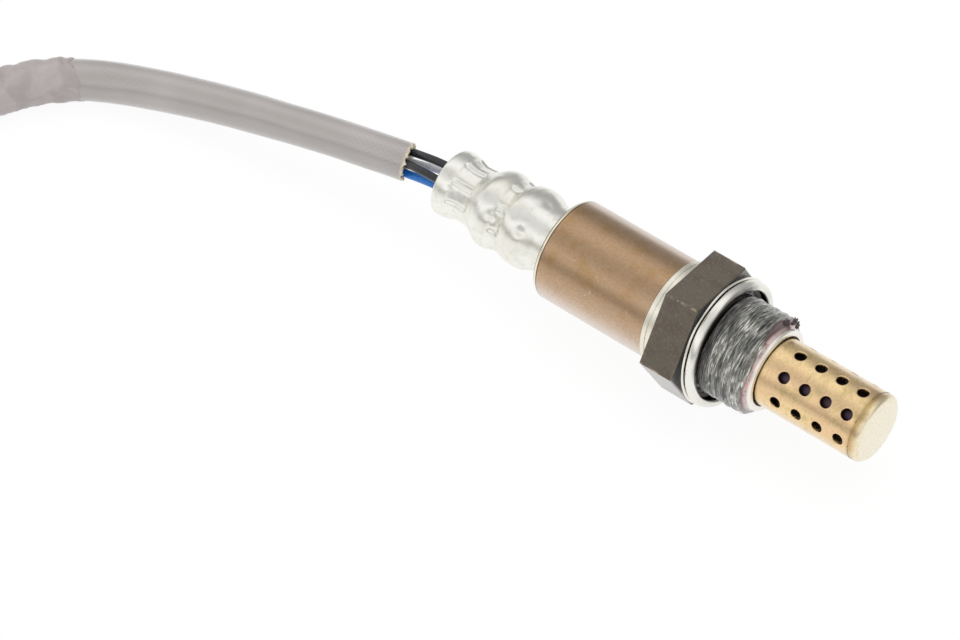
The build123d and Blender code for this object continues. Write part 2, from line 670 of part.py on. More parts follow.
def tape_wrap():
    """Tape wound round the cord: a tube that follows the cord's own arcs."""
    radii = corner_radii(CORD_ROUTE)[TAPE_FIRST_CORNER - 1:TAPE_LAST_CORNER]
    path = FilletPolyline(*tape_route(), radius=radii)
    section = Plane(path @ 0, z_dir=path % 0) * (Circle(TAPE_R) - Circle(CORD_R))
    return sweep(section, path=path)


def coil_ring():
    """Outer shape of the coiled cord: a flat ring about as high as the cord is thick."""
    outer_r = COIL_START_R + CORD_R
    inner_r = COIL_START_R - COIL_PITCH * COIL_TURNS - CORD_R
    body = Cylinder(outer_r, COIL_HEIGHT) - Cylinder(inner_r, COIL_HEIGHT)
    body = fillet(body.edges().filter_by(GeomType.CIRCLE), CORD_R * 0.9)
    return Pos(*COIL_CENTRE, FLOOR_Z + COIL_HEIGHT / 2) * body


def coil_tie():
    """Strap closed round the coil where its turns lie side by side."""
    outer_r = COIL_START_R + CORD_R
    inner_r = COIL_START_R - COIL_PITCH * COIL_TURNS - CORD_R
    width = outer_r - inner_r
    strap = Box(width + 2 * TIE_THICK, TIE_WIDTH, COIL_HEIGHT + TIE_THICK)
    window = Box(width, TIE_WIDTH, COIL_HEIGHT - TIE_THICK)
    body = Pos(0, 0, TIE_THICK / 2) * strap - window
    centre = Pos(*COIL_CENTRE, FLOOR_Z + COIL_HEIGHT / 2)
    return centre * Rot(0, 0, TIE_ANGLE) * Pos((outer_r + inner_r) / 2, 0, 0) * body


def cable_coil():
    """Coiled stretch of the cord, pressed in under the tie."""
    return coil_ring() - coil_tie()


# ---- connector -----------------------------------------------------------------------------

def heading(angle):
    """Unit vector in the table's plane."""
    return Vector(cos(radians(angle)), sin(radians(angle)), 0)


def coil_end():
    """Point where the cord's centre line ends in the coil, and its heading there."""
    angle = COIL_START_ANGLE - 360 * COIL_TURNS
    radius = COIL_START_R - COIL_PITCH * COIL_TURNS
    centre = Vector(*COIL_CENTRE, FLOOR_Z + CORD_R)
    return centre + heading(angle) * radius, angle - 90


def bundle_points(side, lift):
    """Corners of one lead between the coil and the connector, set off from the bundle's middle."""
    point, angle = coil_end()
    rise = (PLUG_CENTRE_Z - point.Z) / len(BUNDLE_RUNS)
    corners = []
    for i, run in enumerate((0.0,) + BUNDLE_RUNS):
        spread = i / len(BUNDLE_RUNS)
        left = heading(angle + 90)
        point = point + heading(angle) * run
        off_side = side * (BUNDLE_SPREAD + (CAVITY_Y - BUNDLE_SPREAD) * spread)
        off_up = lift * (BUNDLE_SPREAD + (CAVITY_Z - BUNDLE_SPREAD) * spread)
        corners.append(point + left * off_side + Vector(0, 0, rise * i + off_up))
        if 0 < i < len(BUNDLE_RUNS):
            angle += BUNDLE_TURN
    return corners, point, angle


def plug_place():
    """Location of the connector's rear face, with its own +X the way it is plugged in."""
    _, point, angle = bundle_points(0, 0)
    return Pos(point.X, point.Y, PLUG_CENTRE_Z) * Rot(0, 0, angle)


def connector_lead(name):
    """The same lead's other end, from inside the coil to its terminal in the connector."""
    side, lift = LEAD_CAVITIES[name]
    corners, _, angle = bundle_points(side, lift)
    free = tube_along([tuple(p) for p in corners], LEAD_R)
    section = Plane(corners[-1], z_dir=heading(angle))
    return free + section * extrude(Circle(LEAD_R), SEAL_POCKET + LEAD_BEYOND_SEAL)


def lead(name):
    """One wire: its two visible ends, joined inside the cord."""
    return Compound(children=[sensor_lead(name), connector_lead(name)])


def block(x_back, x_front, width, height, z=0.0):
    """Box centred across the connector's own axis."""
    return Pos((x_back + x_front) / 2, 0, z) * Box(x_front - x_back, width, height)


def rounded_block(x_back, x_front, width, height, corner):
    """The same with its long edges rounded."""
    body = block(x_back, x_front, width, height)
    return fillet(body.edges().filter_by(Axis.X), corner)


def cavity_grid():
    """Places of the four terminals across the connector's axis."""
    return [Pos(0, side * CAVITY_Y, lift * CAVITY_Z) for side, lift in LEAD_CAVITIES.values()]


def connector_housing():
    """Sealed plug body with a stepped nose, side ribs, a latch arm and four cavities."""
    shoulder = PLUG_LENGTH - PLUG_NOSE_LENGTH
    body = rounded_block(0, shoulder, PLUG_WIDTH, PLUG_HEIGHT, PLUG_CORNER)
    nose_width = PLUG_WIDTH - 2 * PLUG_STEP
    nose_height = PLUG_HEIGHT - 2 * PLUG_STEP
    body += rounded_block(shoulder, PLUG_LENGTH, nose_width, nose_height, PLUG_CORNER - PLUG_STEP / 2)
    body += block(RIB_BACK, PLUG_LENGTH - RIB_FRONT_GAP, PLUG_WIDTH, RIB_HEIGHT)
    foot_front = LATCH_FOOT_X + LATCH_FOOT_LENGTH
    foot_z = PLUG_HEIGHT / 2 + (LATCH_RISE - LATCH_FOOT_DEPTH) / 2
    body += block(LATCH_FOOT_X, foot_front, LATCH_WIDTH, LATCH_RISE + LATCH_FOOT_DEPTH, foot_z)
    latch_back = LATCH_FOOT_X - LATCH_BEHIND_FOOT
    latch_z = PLUG_HEIGHT / 2 + LATCH_RISE - LATCH_THICK / 2
    body += block(latch_back, latch_back + LATCH_LENGTH, LATCH_WIDTH, LATCH_THICK, latch_z)
    body -= block(0, SEAL_POCKET, SEAL_WIDTH, SEAL_HEIGHT)
    body -= block(PLUG_LENGTH - LOCK_DEPTH, PLUG_LENGTH, LOCK_WIDTH, LOCK_HEIGHT)
    for place in cavity_grid():
        body -= place * block(SEAL_POCKET, PLUG_LENGTH, CAVITY_SIDE, CAVITY_SIDE)
    return plug_place() * body


def connector_seal():
    """Rubber mat in the rear pocket, tight on each lead."""
    body = block(0, SEAL_POCKET, SEAL_WIDTH, SEAL_HEIGHT)
    for place in cavity_grid():
        body -= place * rod(0, SEAL_POCKET, LEAD_R)
    return plug_place() * body


def seal_cover():
    """Plate over the seal, clipped to the connector's rear face."""
    body = block(-COVER_THICK, 0, SEAL_WIDTH + 2 * COVER_EDGE, SEAL_HEIGHT + 2 * COVER_EDGE)
    body = fillet(body.edges().filter_by(Axis.X), COVER_EDGE)
    for place in cavity_grid():
        body -= place * rod(-COVER_THICK, 0, LEAD_R + COVER_CLEARANCE)
    return plug_place() * body


def pin_side():
    """Side of the square socket that takes the other half's pin."""
    return TERMINAL_SIDE - 2 * TERMINAL_WALL


def terminal_lock():
    """Front plate that holds the terminals in, with a window for each pin."""
    body = block(PLUG_LENGTH - LOCK_DEPTH, PLUG_LENGTH, LOCK_WIDTH, LOCK_HEIGHT)
    for place in cavity_grid():
        body -= place * block(PLUG_LENGTH - LOCK_DEPTH, PLUG_LENGTH, pin_side(), pin_side())
    return plug_place() * body


def connector_terminals():
    """Four alike socket terminals, each crimped to its lead."""
    front = PLUG_LENGTH - LOCK_DEPTH
    back = front - TERMINAL_LENGTH
    socket = block(back, front, TERMINAL_SIDE, TERMINAL_SIDE)
    socket -= block(back + TERMINAL_FLOOR, front, pin_side(), pin_side())
    crimp_back = SEAL_POCKET + CRIMP_GAP
    barrel = rod(crimp_back, back, TERMINAL_SIDE / 2)
    socket += barrel - rod(crimp_back, SEAL_POCKET + LEAD_BEYOND_SEAL, LEAD_R)
    return Compound(children=[plug_place() * place * socket for place in cavity_grid()])


NODES = {
    "hex_housing": hex_housing,
    "seal_gasket": seal_gasket,
    "outer_protector": outer_protector,
    "inner_protector": inner_protector,
    "collar_ring": collar_ring,
    "body_sleeve": body_sleeve,
    "rear_tube": rear_tube,
    "sensing_element": sensing_element,
    "heater_rod": heater_rod,
    "seat_washer": seat_washer,
    "talc_seal": talc_seal,
    "ceramic_spacer": ceramic_spacer,
    "packing_ring": packing_ring,
    "inner_contact": inner_contact,
    "outer_contact": outer_contact,
    "heater_terminals": heater_terminals,
    "contact_carrier": contact_carrier,
    "carrier_spring": carrier_spring,
    "rubber_grommet": rubber_grommet,
    "vent_filter": vent_filter,
    "braided_sleeve": braided_sleeve,
    "tape_wrap": tape_wrap,
    "cable_coil": cable_coil,
    "coil_tie": coil_tie,
    "connector_housing": connector_housing,
    "connector_seal": connector_seal,
    "seal_cover": seal_cover,
    "terminal_lock": terminal_lock,
    "connector_terminals": connector_terminals,
}


def coil_length():
    """Length of the cord's centre line in the coil, a spiral of even pitch."""
    mean_r = COIL_START_R - COIL_PITCH * COIL_TURNS / 2
    return 2 * pi * mean_r * COIL_TURNS


def main():
    os.makedirs("parts", exist_ok=True)
    for name, make in NODES.items():
        export_step(make(), f"parts/{name}.step")
    for name in LEAD_ANGLES:
        export_step(lead(name), f"parts/{name}.step")
    path = FilletPolyline(*CORD_ROUTE, radius=corner_radii(CORD_ROUTE))
    print("cord radii", [round(r, 1) for r in corner_radii(CORD_ROUTE)])
    print("cord length", round(path.length + coil_length(), 1))
    full = tube_along(CORD_ROUTE, CORD_R)
    print("cord volume over section times length", round(full.volume / (pi * CORD_R ** 2 * path.length), 4))


main()
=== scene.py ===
from math import cos, pi, radians, sin, tan

import bmesh
import bpy
import numpy as np
from mathutils import Matrix, Vector


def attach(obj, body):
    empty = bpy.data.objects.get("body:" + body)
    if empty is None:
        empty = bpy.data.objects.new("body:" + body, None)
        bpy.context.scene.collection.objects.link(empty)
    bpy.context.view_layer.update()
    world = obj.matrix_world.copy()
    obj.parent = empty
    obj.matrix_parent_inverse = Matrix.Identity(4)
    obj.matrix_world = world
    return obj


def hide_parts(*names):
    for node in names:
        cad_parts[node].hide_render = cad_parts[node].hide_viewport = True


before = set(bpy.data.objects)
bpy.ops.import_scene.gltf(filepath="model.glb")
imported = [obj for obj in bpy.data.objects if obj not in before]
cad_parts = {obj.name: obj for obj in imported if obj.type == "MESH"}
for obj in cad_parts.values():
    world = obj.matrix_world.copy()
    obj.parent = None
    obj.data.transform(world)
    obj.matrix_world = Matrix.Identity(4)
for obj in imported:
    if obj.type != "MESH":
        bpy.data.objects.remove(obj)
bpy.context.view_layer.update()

# Heated oxygen sensor with its lead. Sizes are millimetres and meshes are metres. The sensor's
# axis is X and its tip points along +X. X = 0 is the gasket's sealing face. An angle round the
# axis is measured from +Z towards -Y, so 0 is the top of the sensor as it lies.

MM = 0.001
FLOOR_Z = -11.4 * MM
WELD = 2e-7
NEEDLE = 1e-8               # shortest edge that is kept

# ---- shell -----------------------------------------------------------------------------------
HEX_FLATS = 22.0
HEX_BACK = -10.2
HEX_FRONT = -3.8
HEX_FRONT_EDGE = 0.22
WASHER_FACE_R = 9.6
WASHER_FRONT = -2.8
THREAD_PITCH = 1.5
THREAD_R = 9.0
THREAD_DEPTH = 0.92
THREAD_CREST = 0.12         # flat crest and flank, as shares of half a pitch
THREAD_FLANK = 0.72
THREAD_START = -1.2
THREAD_END = 6.25
RELIEF_R = 8.1
NOSE_START = 6.2
NOSE_X = 7.95
NOSE_R = 7.02
# (x, radius) of the turned stretches behind the hexagon and from the end face into the bore
REAR_STEPS = ((-19.2, 5.2), (-19.2, 7.4), (-16.0, 7.4), (-16.0, 8.4), (HEX_BACK, 8.4), (HEX_BACK, 9.2))
BORE_STEPS = (
    (7.86, 7.2), (7.92, 7.12), (NOSE_X, NOSE_R), (NOSE_X, 6.46), (7.9, 6.36), (6.9, 6.34), (6.7, 6.12),
    (5.0, 6.1), (5.0, 6.95), (4.2, 6.95), (4.2, 4.9), (-3.4, 4.9), (-4.8, 6.3), (-18.4, 6.3), (-18.4, 5.2),
)
# (x, radius) of the bare nose: step, hollow neck and rounded lip
NOSE_KNOTS = np.array([
    (NOSE_START, 8.7), (6.42, 8.35), (6.62, 7.86), (6.85, 7.66), (7.15, 7.52), (7.38, 7.44), (7.55, 7.4),
    (7.72, 7.32), (7.86, 7.2), (NOSE_X, NOSE_R),
])

# ---- paste on the thread ---------------------------------------------------------------------
PASTE_LEVEL_R = 8.58
PASTE_OVER_CREST = 0.34     # most that the paste stands over the thread
PASTE_FEATHER = 0.22        # width of its thin edge
PASTE_SINK = 0.22           # most that it lies under the bare thread
LUMP_HEIGHT = 0.12
STROKE_HEIGHT = 0.1
FINE_HEIGHT = 0.04
# (angle, x) of its edge: at the thread's end on top, and smeared over the neck further round
PASTE_EDGE = np.array([
    (-190, 6.3), (-60, 6.15), (-20, 6.15), (0, 6.25), (14, 6.65), (28, 7.2), (50, 7.25), (70, 7.05),
    (92, 6.7), (125, 6.5), (190, 6.3),
])
# ((x, radius, angle), size along x, outwards and sideways, seed)
CRUMBS = (
    ((7.0, 8.6, -40), (0.36, 0.5, 0.3), 1), ((7.6, 8.1, -42), (0.32, 0.5, 0.26), 2),
    ((7.2, 8.3, -34), (0.3, 0.26, 0.5), 3), ((6.8, 8.5, -28), (0.26, 0.3, 0.26), 4),
)

# ---- gasket ----------------------------------------------------------------------------------
TAB_ANGLES = (-31, 89, 209)
TAB_WIDTH_ANGLE = 4.5
TAB_DEPTH = 0.5
TAB_SET_BACK = 0.2
BEAD_BACK_X = -2.5
SLACK_ANGLE = 170           # where the bead is rolled less tight
BEAD_SLACK = 0.35
# (x, radius): flange, crease, the bead's back and crown, its rolled lip and its inner side
GASKET_OUTLINE = np.array([
    (-3.05, 9.3), (-3.05, 11.05), (-3.0, 11.2), (-2.92, 11.3), (-2.84, 11.35), (-2.74, 11.34),
    (-2.66, 11.25), (-2.62, 11.05), (-2.6, 10.7), (-2.44, 10.7), (-2.4, 10.96), (-2.3, 11.1),
    (-2.12, 11.18), (-1.9, 11.21), (-1.65, 11.2), (-1.42, 11.14), (-1.2, 11.02), (-1.03, 10.85),
    (-0.91, 10.63), (-0.86, 10.4), (-0.86, 10.2), (-0.92, 10.0), (-1.04, 9.87), (-1.2, 9.8),
    (-1.38, 9.8), (-1.45, 9.88), (-1.4, 9.98), (-1.28, 10.05), (-1.22, 10.2), (-1.24, 10.42),
    (-1.36, 10.62), (-1.6, 10.74), (-1.9, 10.76), (-2.15, 10.66), (-2.25, 10.4), (-2.3, 10.0),
    (-2.4, 9.7), (-2.5, 9.5), (-2.6, 9.3),
])
CREASE_POINTS = (8, 9)      # places in the outline
CROWN_POINT = 13
LIP_POINT = 23
# (angle, shift along x) of the ring, which sits a little askew on the thread
GASKET_LEAN = np.array([
    (-90, 0), (-30, -0.32), (-15, -0.37), (0, -0.47), (38, -0.47), (50, -0.38), (65, -0.15), (80, 0),
    (95, 0.2), (110, 0.4), (130, 0.45), (200, 0.45), (270, 0),
])

# ---- protector cups --------------------------------------------------------------------------
CUP_WALL = 0.4
CUP_FLANGE_R = 6.9
HOLE_COLUMNS = 8
HOLE_PITCH = 4.12
CELL_SIDE_STEPS = 8
OUTER_CUP = dict(radius=6.05, flange_x=4.6, tip_x=28.0, flat_r=5.05, dome=0.06, hole_r=1.0, rows=4,
                 last_row_x=24.36, first_angle=41.1)
INNER_CUP = dict(radius=4.7, flange_x=4.2, tip_x=25.2, flat_r=3.9, dome=0.0, hole_r=0.8,
                 rows=OUTER_CUP["rows"] - 1, last_row_x=OUTER_CUP["last_row_x"] - HOLE_PITCH / 2,
                 first_angle=OUTER_CUP["first_angle"] + 180 / HOLE_COLUMNS)

# ---- rear tube -------------------------------------------------------------------------------
TUBE_FRONT = -35.1
TUBE_REAR = -59.7
TUBE_STEP = 0.14
TUBE_KNOTS = np.array([
    (TUBE_FRONT, 5.98), (-37.6, 5.98), (-38.9, 6.0), (-40.2, 6.42), (-41.2, 6.92), (-42.2, 7.1),
    (-43.2, 7.14), (-44.2, 7.02), (-45.2, 6.7), (-46.4, 6.27), (-47.3, 6.42), (-48.2, 6.76),
    (-49.3, 7.02), (-50.2, 6.9),
    (-51.2, 6.46), (-52.2, 5.76), (-53.2, 5.32), (-54.2, 5.16), (-55.4, 5.1), (-56.4, 5.3), (-57.4, 5.66),
    (-58.4, 5.88), (-59.2, 5.97), (TUBE_REAR, 5.93),
])
TUBE_LIP = ((-59.75, 5.93), (-59.93, 5.84), (-60.05, 5.68), (-60.1, 5.5), (-60.06, 5.33), (-59.95, 5.22),
            (TUBE_REAR, 5.2))
TUBE_INSIDE = ((-57.5, 4.6), (-55.2, 4.2), (-53.0, 4.8), (-49.3, 6.4), (-46.3, 5.6), (-43.2, 6.5),
               (-39.0, 5.4))
WAISTS = ((-55.2, 1.9, 0.75), (-46.3, 1.0, 0.6))      # (x, half length, bite of the jaws)
JAW_TURN = 9.0
# (x, angle, size, depth)
DENTS = (
    (-57.4, 50, 0.55, 0.1), (-47.6, 53, 0.8, 0.3), (-41.3, 51, 0.85, 0.36), (-42.9, 24, 1.3, 0.1),
    (-52.4, 8, 0.8, 0.14), (-40.2, -8, 0.8, 0.14), (-50.4, -14, 1.0, 0.14), (-41.0, 84, 1.0, 0.14),
    (-48.6, 96, 1.2, 0.16), (-58.0, 92, 1.2, 0.14), (-43.2, -22, 1.3, 0.1), (-43.4, 120, 1.4, 0.15),
    (-49.4, 160, 1.4, 0.16), (-57.8, 210, 1.2, 0.2),
)
DENT_MEAN_R = 6.3
RIDGE_HEIGHT = 0.1
GROOVE_DEPTH = 0.1
TUBE_UNEVEN = 0.018

# ---- cord and tape ---------------------------------------------------------------------------
CORD_R = 3.5
CORD_UNEVEN = 0.035
CORD_POINTS = [
    (-0.0696, -0.0003, -0.0012),
    (-0.0808, -0.0024, -0.0017),
    (-0.0925, -0.0046, -0.0030),
    (-0.1040, -0.0065, -0.0047),
    (-0.1146, -0.0090, -0.0062),
    (-0.1244, -0.0124, -0.0071),
    (-0.1330, -0.0176, -0.0072),
    (-0.1390, -0.0258, -0.0072),
    (-0.1426, -0.0360, -0.0072),
    (-0.1458, -0.0470, -0.0075),
]
COIL_CENTRE = (-0.1898, -0.0440)
COIL_Z = -0.0078
COIL_START_R = 0.0425
COIL_PITCH = 0.0070
COIL_START_ANGLE = -20.0
COIL_TURNS = 1.25
POINTS_A_TURN = 24
LINE_STEP = 0.0005
# (distance along the cord, radius): the sleeve swells a little before the tape
CORD_SWELL = np.array([
    (-1, 3.38), (0, 3.38), (12, 3.36), (30, 3.45), (50, 3.6), (62, 3.66), (80, 3.6), (120, CORD_R),
    (900, CORD_R),
])
MOUTH_TILT = 14.0
MOUTH_R = 3.4
MOUTH_SET_BACK = 0.1
MOUTH_DEPTH = 6.0
MOUTH_BORE_R = 2.7
MOUTH_LONG_SIDE = np.array([0.443, -0.533, 0.721])    # the side that the slanted cut leaves longest
TAPE_START = 64.2
TAPE_END = 82.5
TAPE_WALL = 0.12
TAPE_FIRST_STEP = 1.0       # places where a layer steps up, from the tape's start
TAPE_SECOND_STEP = 8.2
TAPE_LUMPS = 0.14
TAPE_CREASES = 0.07
TAPE_WALL_UNDER = 0.25      # how far its inner side lies under the cord's skin


# ==== meshes ==================================================================================

def grid_quads(rows, columns, closed_rows=False):
    """Corner numbers of each cell of a grid whose last column joins the first. With closed_rows
    its last row joins the first row as well."""
    i, j = np.meshgrid(np.arange(rows if closed_rows else rows - 1), np.arange(columns), indexing="ij")
    next_i, next_j = (i + 1) % rows, (j + 1) % columns
    corners = [i * columns + j, i * columns + next_j, next_i * columns + next_j, next_i * columns + j]
    return np.stack(corners, -1).reshape(-1, 4)


def skin(name, grid, closed_rows=False, sharp=40, lay=None, marks=None):
    """Mesh over a grid of points (rows, columns, xyz). lay is the second UV value of each row, the
    first being the share of a turn. marks are point attributes by name."""
    rows, columns = grid.shape[:2]
    quads = grid_quads(rows, columns, closed_rows)
    corner_uv = None
    if lay is not None:
        # the seam's far corners take the value one step past the last column
        first = quads[:, 0] % columns
        turn = np.stack([first, first + 1, first + 1, first], -1) / columns
        corner_uv = np.stack([turn, lay[quads // columns]], -1).reshape(-1, 2)
    return mesh_piece(name, grid.reshape(-1, 3), quads, corner_uv, sharp, marks)


def mesh_piece(name, points, quads, corner_uv=None, sharp=40, marks=None):
    """Object from arrays of points and quads, welded, with its faces turned outwards."""
    mesh = bpy.data.meshes.new(name)

    def fill(layer, key, values):
        layer.foreach_set(key, np.ascontiguousarray(values, dtype=np.float32).ravel())

    mesh.vertices.add(len(points))
    fill(mesh.vertices, "co", points)
    mesh.loops.add(quads.size)
    mesh.loops.foreach_set("vertex_index", quads.ravel().astype(np.int32))
    mesh.polygons.add(len(quads))
    mesh.polygons.foreach_set("loop_start", np.arange(0, quads.size, 4, dtype=np.int32))
    if corner_uv is not None:
        fill(mesh.uv_layers.new(name="lay").data, "uv", corner_uv)
    for label, values in (marks or {}).items():
        fill(mesh.attributes.new(label, "FLOAT", "POINT").data, "value", values)
    mesh.update(calc_edges=True)
    mesh.validate()
    welded = bmesh.new()
    welded.from_mesh(mesh)
    bmesh.ops.remove_doubles(welded, verts=welded.verts, dist=WELD)
    bmesh.ops.dissolve_degenerate(welded, edges=welded.edges, dist=NEEDLE)
    bmesh.ops.recalc_face_normals(welded, faces=welded.faces)
    welded.to_mesh(mesh)
    welded.free()
    mesh.shade_smooth()
    mesh.set_sharp_from_angle(angle=radians(sharp))
    return add_object(name, mesh)


def add_object(name, data):
    """Object of a mesh, curve, lamp or camera, linked to the scene."""
    made = bpy.data.objects.new(name, data)
    bpy.context.scene.collection.objects.link(made)
    return made


def wrap(x, radius, angle):
    """Points on a surface about the sensor's axis: y is minus the radius times the angle's sine
    and z the radius times its cosine. The three broadcast together."""
    x, radius, angle = np.broadcast_arrays(x, radius, angle)
    return np.stack([x, -radius * np.sin(angle), radius * np.cos(angle)], -1) * MM


def ripple(x, angle, seed, waves=14, reach=(0.5, 3.0), lobes=9):
    """Smooth noise of about -1 to 1 on a tube: a sum of sines with seeded phases, whole numbers
    of lobes round the axis and wavelengths along it within reach."""
    source = np.random.default_rng(seed)
    total = np.zeros(np.broadcast(x, angle).shape)
    for _ in range(waves):
        length = source.uniform(*reach)
        lobe = source.integers(-lobes, lobes + 1)
        total = total + np.sin(2 * pi * x / length + lobe * angle + source.uniform(0, 2 * pi))
    return total / np.sqrt(waves / 2) / 2


def ease(value):
    """Smooth step from 0 to 1: three squares less two cubes of the value held to 0..1."""
    t = np.clip(value, 0, 1)
    return t * t * (3 - 2 * t)


def bell(value, width):
    """Smooth bump of height 1 at 0: e to the minus square of the value over the width."""
    return np.exp(-(value / width) ** 2)


def turn_gap(angle, centre, low=-180):
    """Angle from centre, in degrees, brought into the turn that starts at low."""
    return (np.degrees(angle) - centre - low) % 360 + low


def smooth_through(knots, x):
    """Cubic through (place, value) knots, with flat tangents at its turning points, so that it
    never overshoots: each tangent is the harmonic mean of the slopes on its two sides."""
    kx, ky = knots[np.argsort(knots[:, 0])].T
    run, rise = np.diff(kx), np.diff(ky)
    slope = rise / run
    before, after = np.concatenate([[slope[0]], slope]), np.concatenate([slope, [slope[-1]]])
    same = before * after > 0
    tangent = np.where(same, 2 * before * after / np.where(same, before + after, 1), 0)
    k = np.clip(np.searchsorted(kx, x) - 1, 0, len(kx) - 2)
    t = (x - kx[k]) / run[k]
    return (
        ky[k] * (2 * t ** 3 - 3 * t ** 2 + 1)
        + tangent[k] * run[k] * (t ** 3 - 2 * t ** 2 + t)
        + ky[k + 1] * (-2 * t ** 3 + 3 * t ** 2)
        + tangent[k + 1] * run[k] * (t ** 3 - t ** 2)
    )


def ring_angles(count, first=0.0):
    """Angles round the axis, in radians, evenly spaced from first (degrees)."""
    return np.radians(first) + np.arange(count) * 2 * pi / count


# ==== shell and gasket ========================================================================

def hex_radius(angle):
    """Radius of the hexagon, with a flat on top: half the flats over the cosine of the angle from
    the middle of the nearest flat."""
    off = (angle + pi / 6) % (pi / 3) - pi / 6
    return HEX_FLATS / 2 / np.cos(off)


def thread_radius(x, angle):
    """Right-hand helix: a triangle wave of depth along x that moves one pitch a turn, with flat
    crests and roots. It grows out of the relief over its first half pitch."""
    phase = (x / THREAD_PITCH - angle / (2 * pi)) % 1.0
    down = np.abs((phase + 0.5) % 1.0 - 0.5) * 2
    depth = THREAD_DEPTH * ease((down - THREAD_CREST) / THREAD_FLANK)
    start = ease((x - THREAD_START + 0.5) / 0.7)
    crest = RELIEF_R + (THREAD_R - RELIEF_R) * start
    return np.maximum(crest - depth * start, RELIEF_R - 0.05)


def bare_radius(x, angle):
    """The thread, which runs out into the nose a little sooner on one side, and then the nose."""
    if x >= NOSE_START + 0.3:
        return smooth_through(NOSE_KNOTS, x) + 0 * angle
    runout = THREAD_END - 0.45 * ease(turn_gap(angle, 60) / 60)
    gone = ease((x - runout + 0.3) / 0.35)
    turned = thread_radius(x, angle)
    return turned * (1 - gone) + np.minimum(turned, smooth_through(NOSE_KNOTS, max(x, NOSE_START))) * gone


def paste_edge(angle):
    """X where the paste ends: its smooth edge, less even by two ripples."""
    drawn = smooth_through(PASTE_EDGE, turn_gap(angle, 0))
    coarse, fine = (ripple(0.0, angle, seed, waves=9, lobes=lobes) for seed, lobes in ((5, 9), (6, 31)))
    return drawn + 0.1 * coarse + 0.09 * fine


def pasted_radius(x, angle):
    """Radius of the thread under its paste, and the paste's share, 0 to 1. The paste is a level
    coat with lumps and fine strokes along the turns. It fills the roots, half follows the crests
    and thins out at its edge and over the nose."""
    bare = bare_radius(x, angle)
    cover = ease((paste_edge(angle) - x) / PASTE_FEATHER)
    strokes = ripple(x, angle, 11, waves=26, reach=(0.26, 0.6), lobes=3)
    fine = ripple(x, angle, 14, waves=26, reach=(0.18, 0.34), lobes=9)
    lumps = ripple(x, angle, 12, waves=18, reach=(0.9, 3.0), lobes=8)
    level = PASTE_LEVEL_R + LUMP_HEIGHT * lumps + STROKE_HEIGHT * strokes + FINE_HEIGHT * fine
    level = np.minimum(level, bare + PASTE_OVER_CREST - 0.2 * ease((x - 6.3) / 0.3))
    coated = np.maximum(bare * 0.45 + 0.55 * level, level) + 0.04 * strokes + 0.02 * fine
    return bare * (1 - cover) + np.maximum(coated, bare - PASTE_SINK) * cover, cover


def shell_grid():
    """Rows of the shell's closed outline, and the paste's share at each point: rear lip, neck,
    hexagon, washer face, relief, pasted thread, nose and the stepped bore back to the lip."""
    angle = ring_angles(288)
    rows, paste = [], []

    def row(x, radius, share=0.0):
        rows.append(wrap(x, radius + 0 * angle, angle))
        paste.append(share + 0 * angle)

    for step in REAR_STEPS:
        row(*step)
    hexagon = hex_radius(angle)
    row(HEX_BACK, hexagon - 0.07)
    row(HEX_BACK + 0.02, hexagon - 0.02)
    for x in np.linspace(HEX_BACK + 0.07, HEX_FRONT - HEX_FRONT_EDGE, 8):
        row(x, hexagon)
    row(HEX_FRONT - 0.05, hexagon - HEX_FRONT_EDGE + 0.05)
    row(HEX_FRONT, hexagon - HEX_FRONT_EDGE)
    for step in ((HEX_FRONT, WASHER_FACE_R), (WASHER_FRONT, WASHER_FACE_R), (WASHER_FRONT, 8.6)):
        row(*step)
    for x in np.linspace(WASHER_FRONT + 0.1, THREAD_START - 0.55, 5):
        row(x, RELIEF_R + 0.35 * ease((WASHER_FRONT + 0.6 - x) / 0.5))
    for x in np.arange(THREAD_START - 0.45, 7.82, THREAD_PITCH / 20):
        row(x, *pasted_radius(x, angle))
    for step in BORE_STEPS:
        row(*step)
    return np.array(rows), np.array(paste)


def crumb_grid(centre, size, seed):
    """Lump of dried paste: a sphere in latitude and longitude, pushed in and out by ten seeded
    products of sines, stretched by its three sizes and set on the shell."""
    source = np.random.default_rng(seed)
    rise, turn = np.linspace(0, pi, 22)[:, None], ring_angles(36)[None, :]
    push = np.zeros((22, 36))
    for _ in range(10):
        n, m = source.integers(1, 5, 2)
        wave = np.sin(n * rise * 2 + source.uniform(0, 6)) * np.sin(m * turn + source.uniform(0, 6))
        push = push + wave * np.sin(rise)
    reach = 1 + 0.16 * push
    ball = [np.cos(rise) + 0 * turn, np.sin(rise) * np.cos(turn), np.sin(rise) * np.sin(turn)]
    lump = np.stack([reach * part * length for part, length in zip(ball, size)], -1)
    x, radius, angle = centre
    a = radians(angle)
    axes = np.array([(1, 0, 0), (0, -sin(a), cos(a)), (0, -cos(a), -sin(a))])
    return (np.array([x, 0, 0]) + radius * axes[1] + lump @ axes) * MM


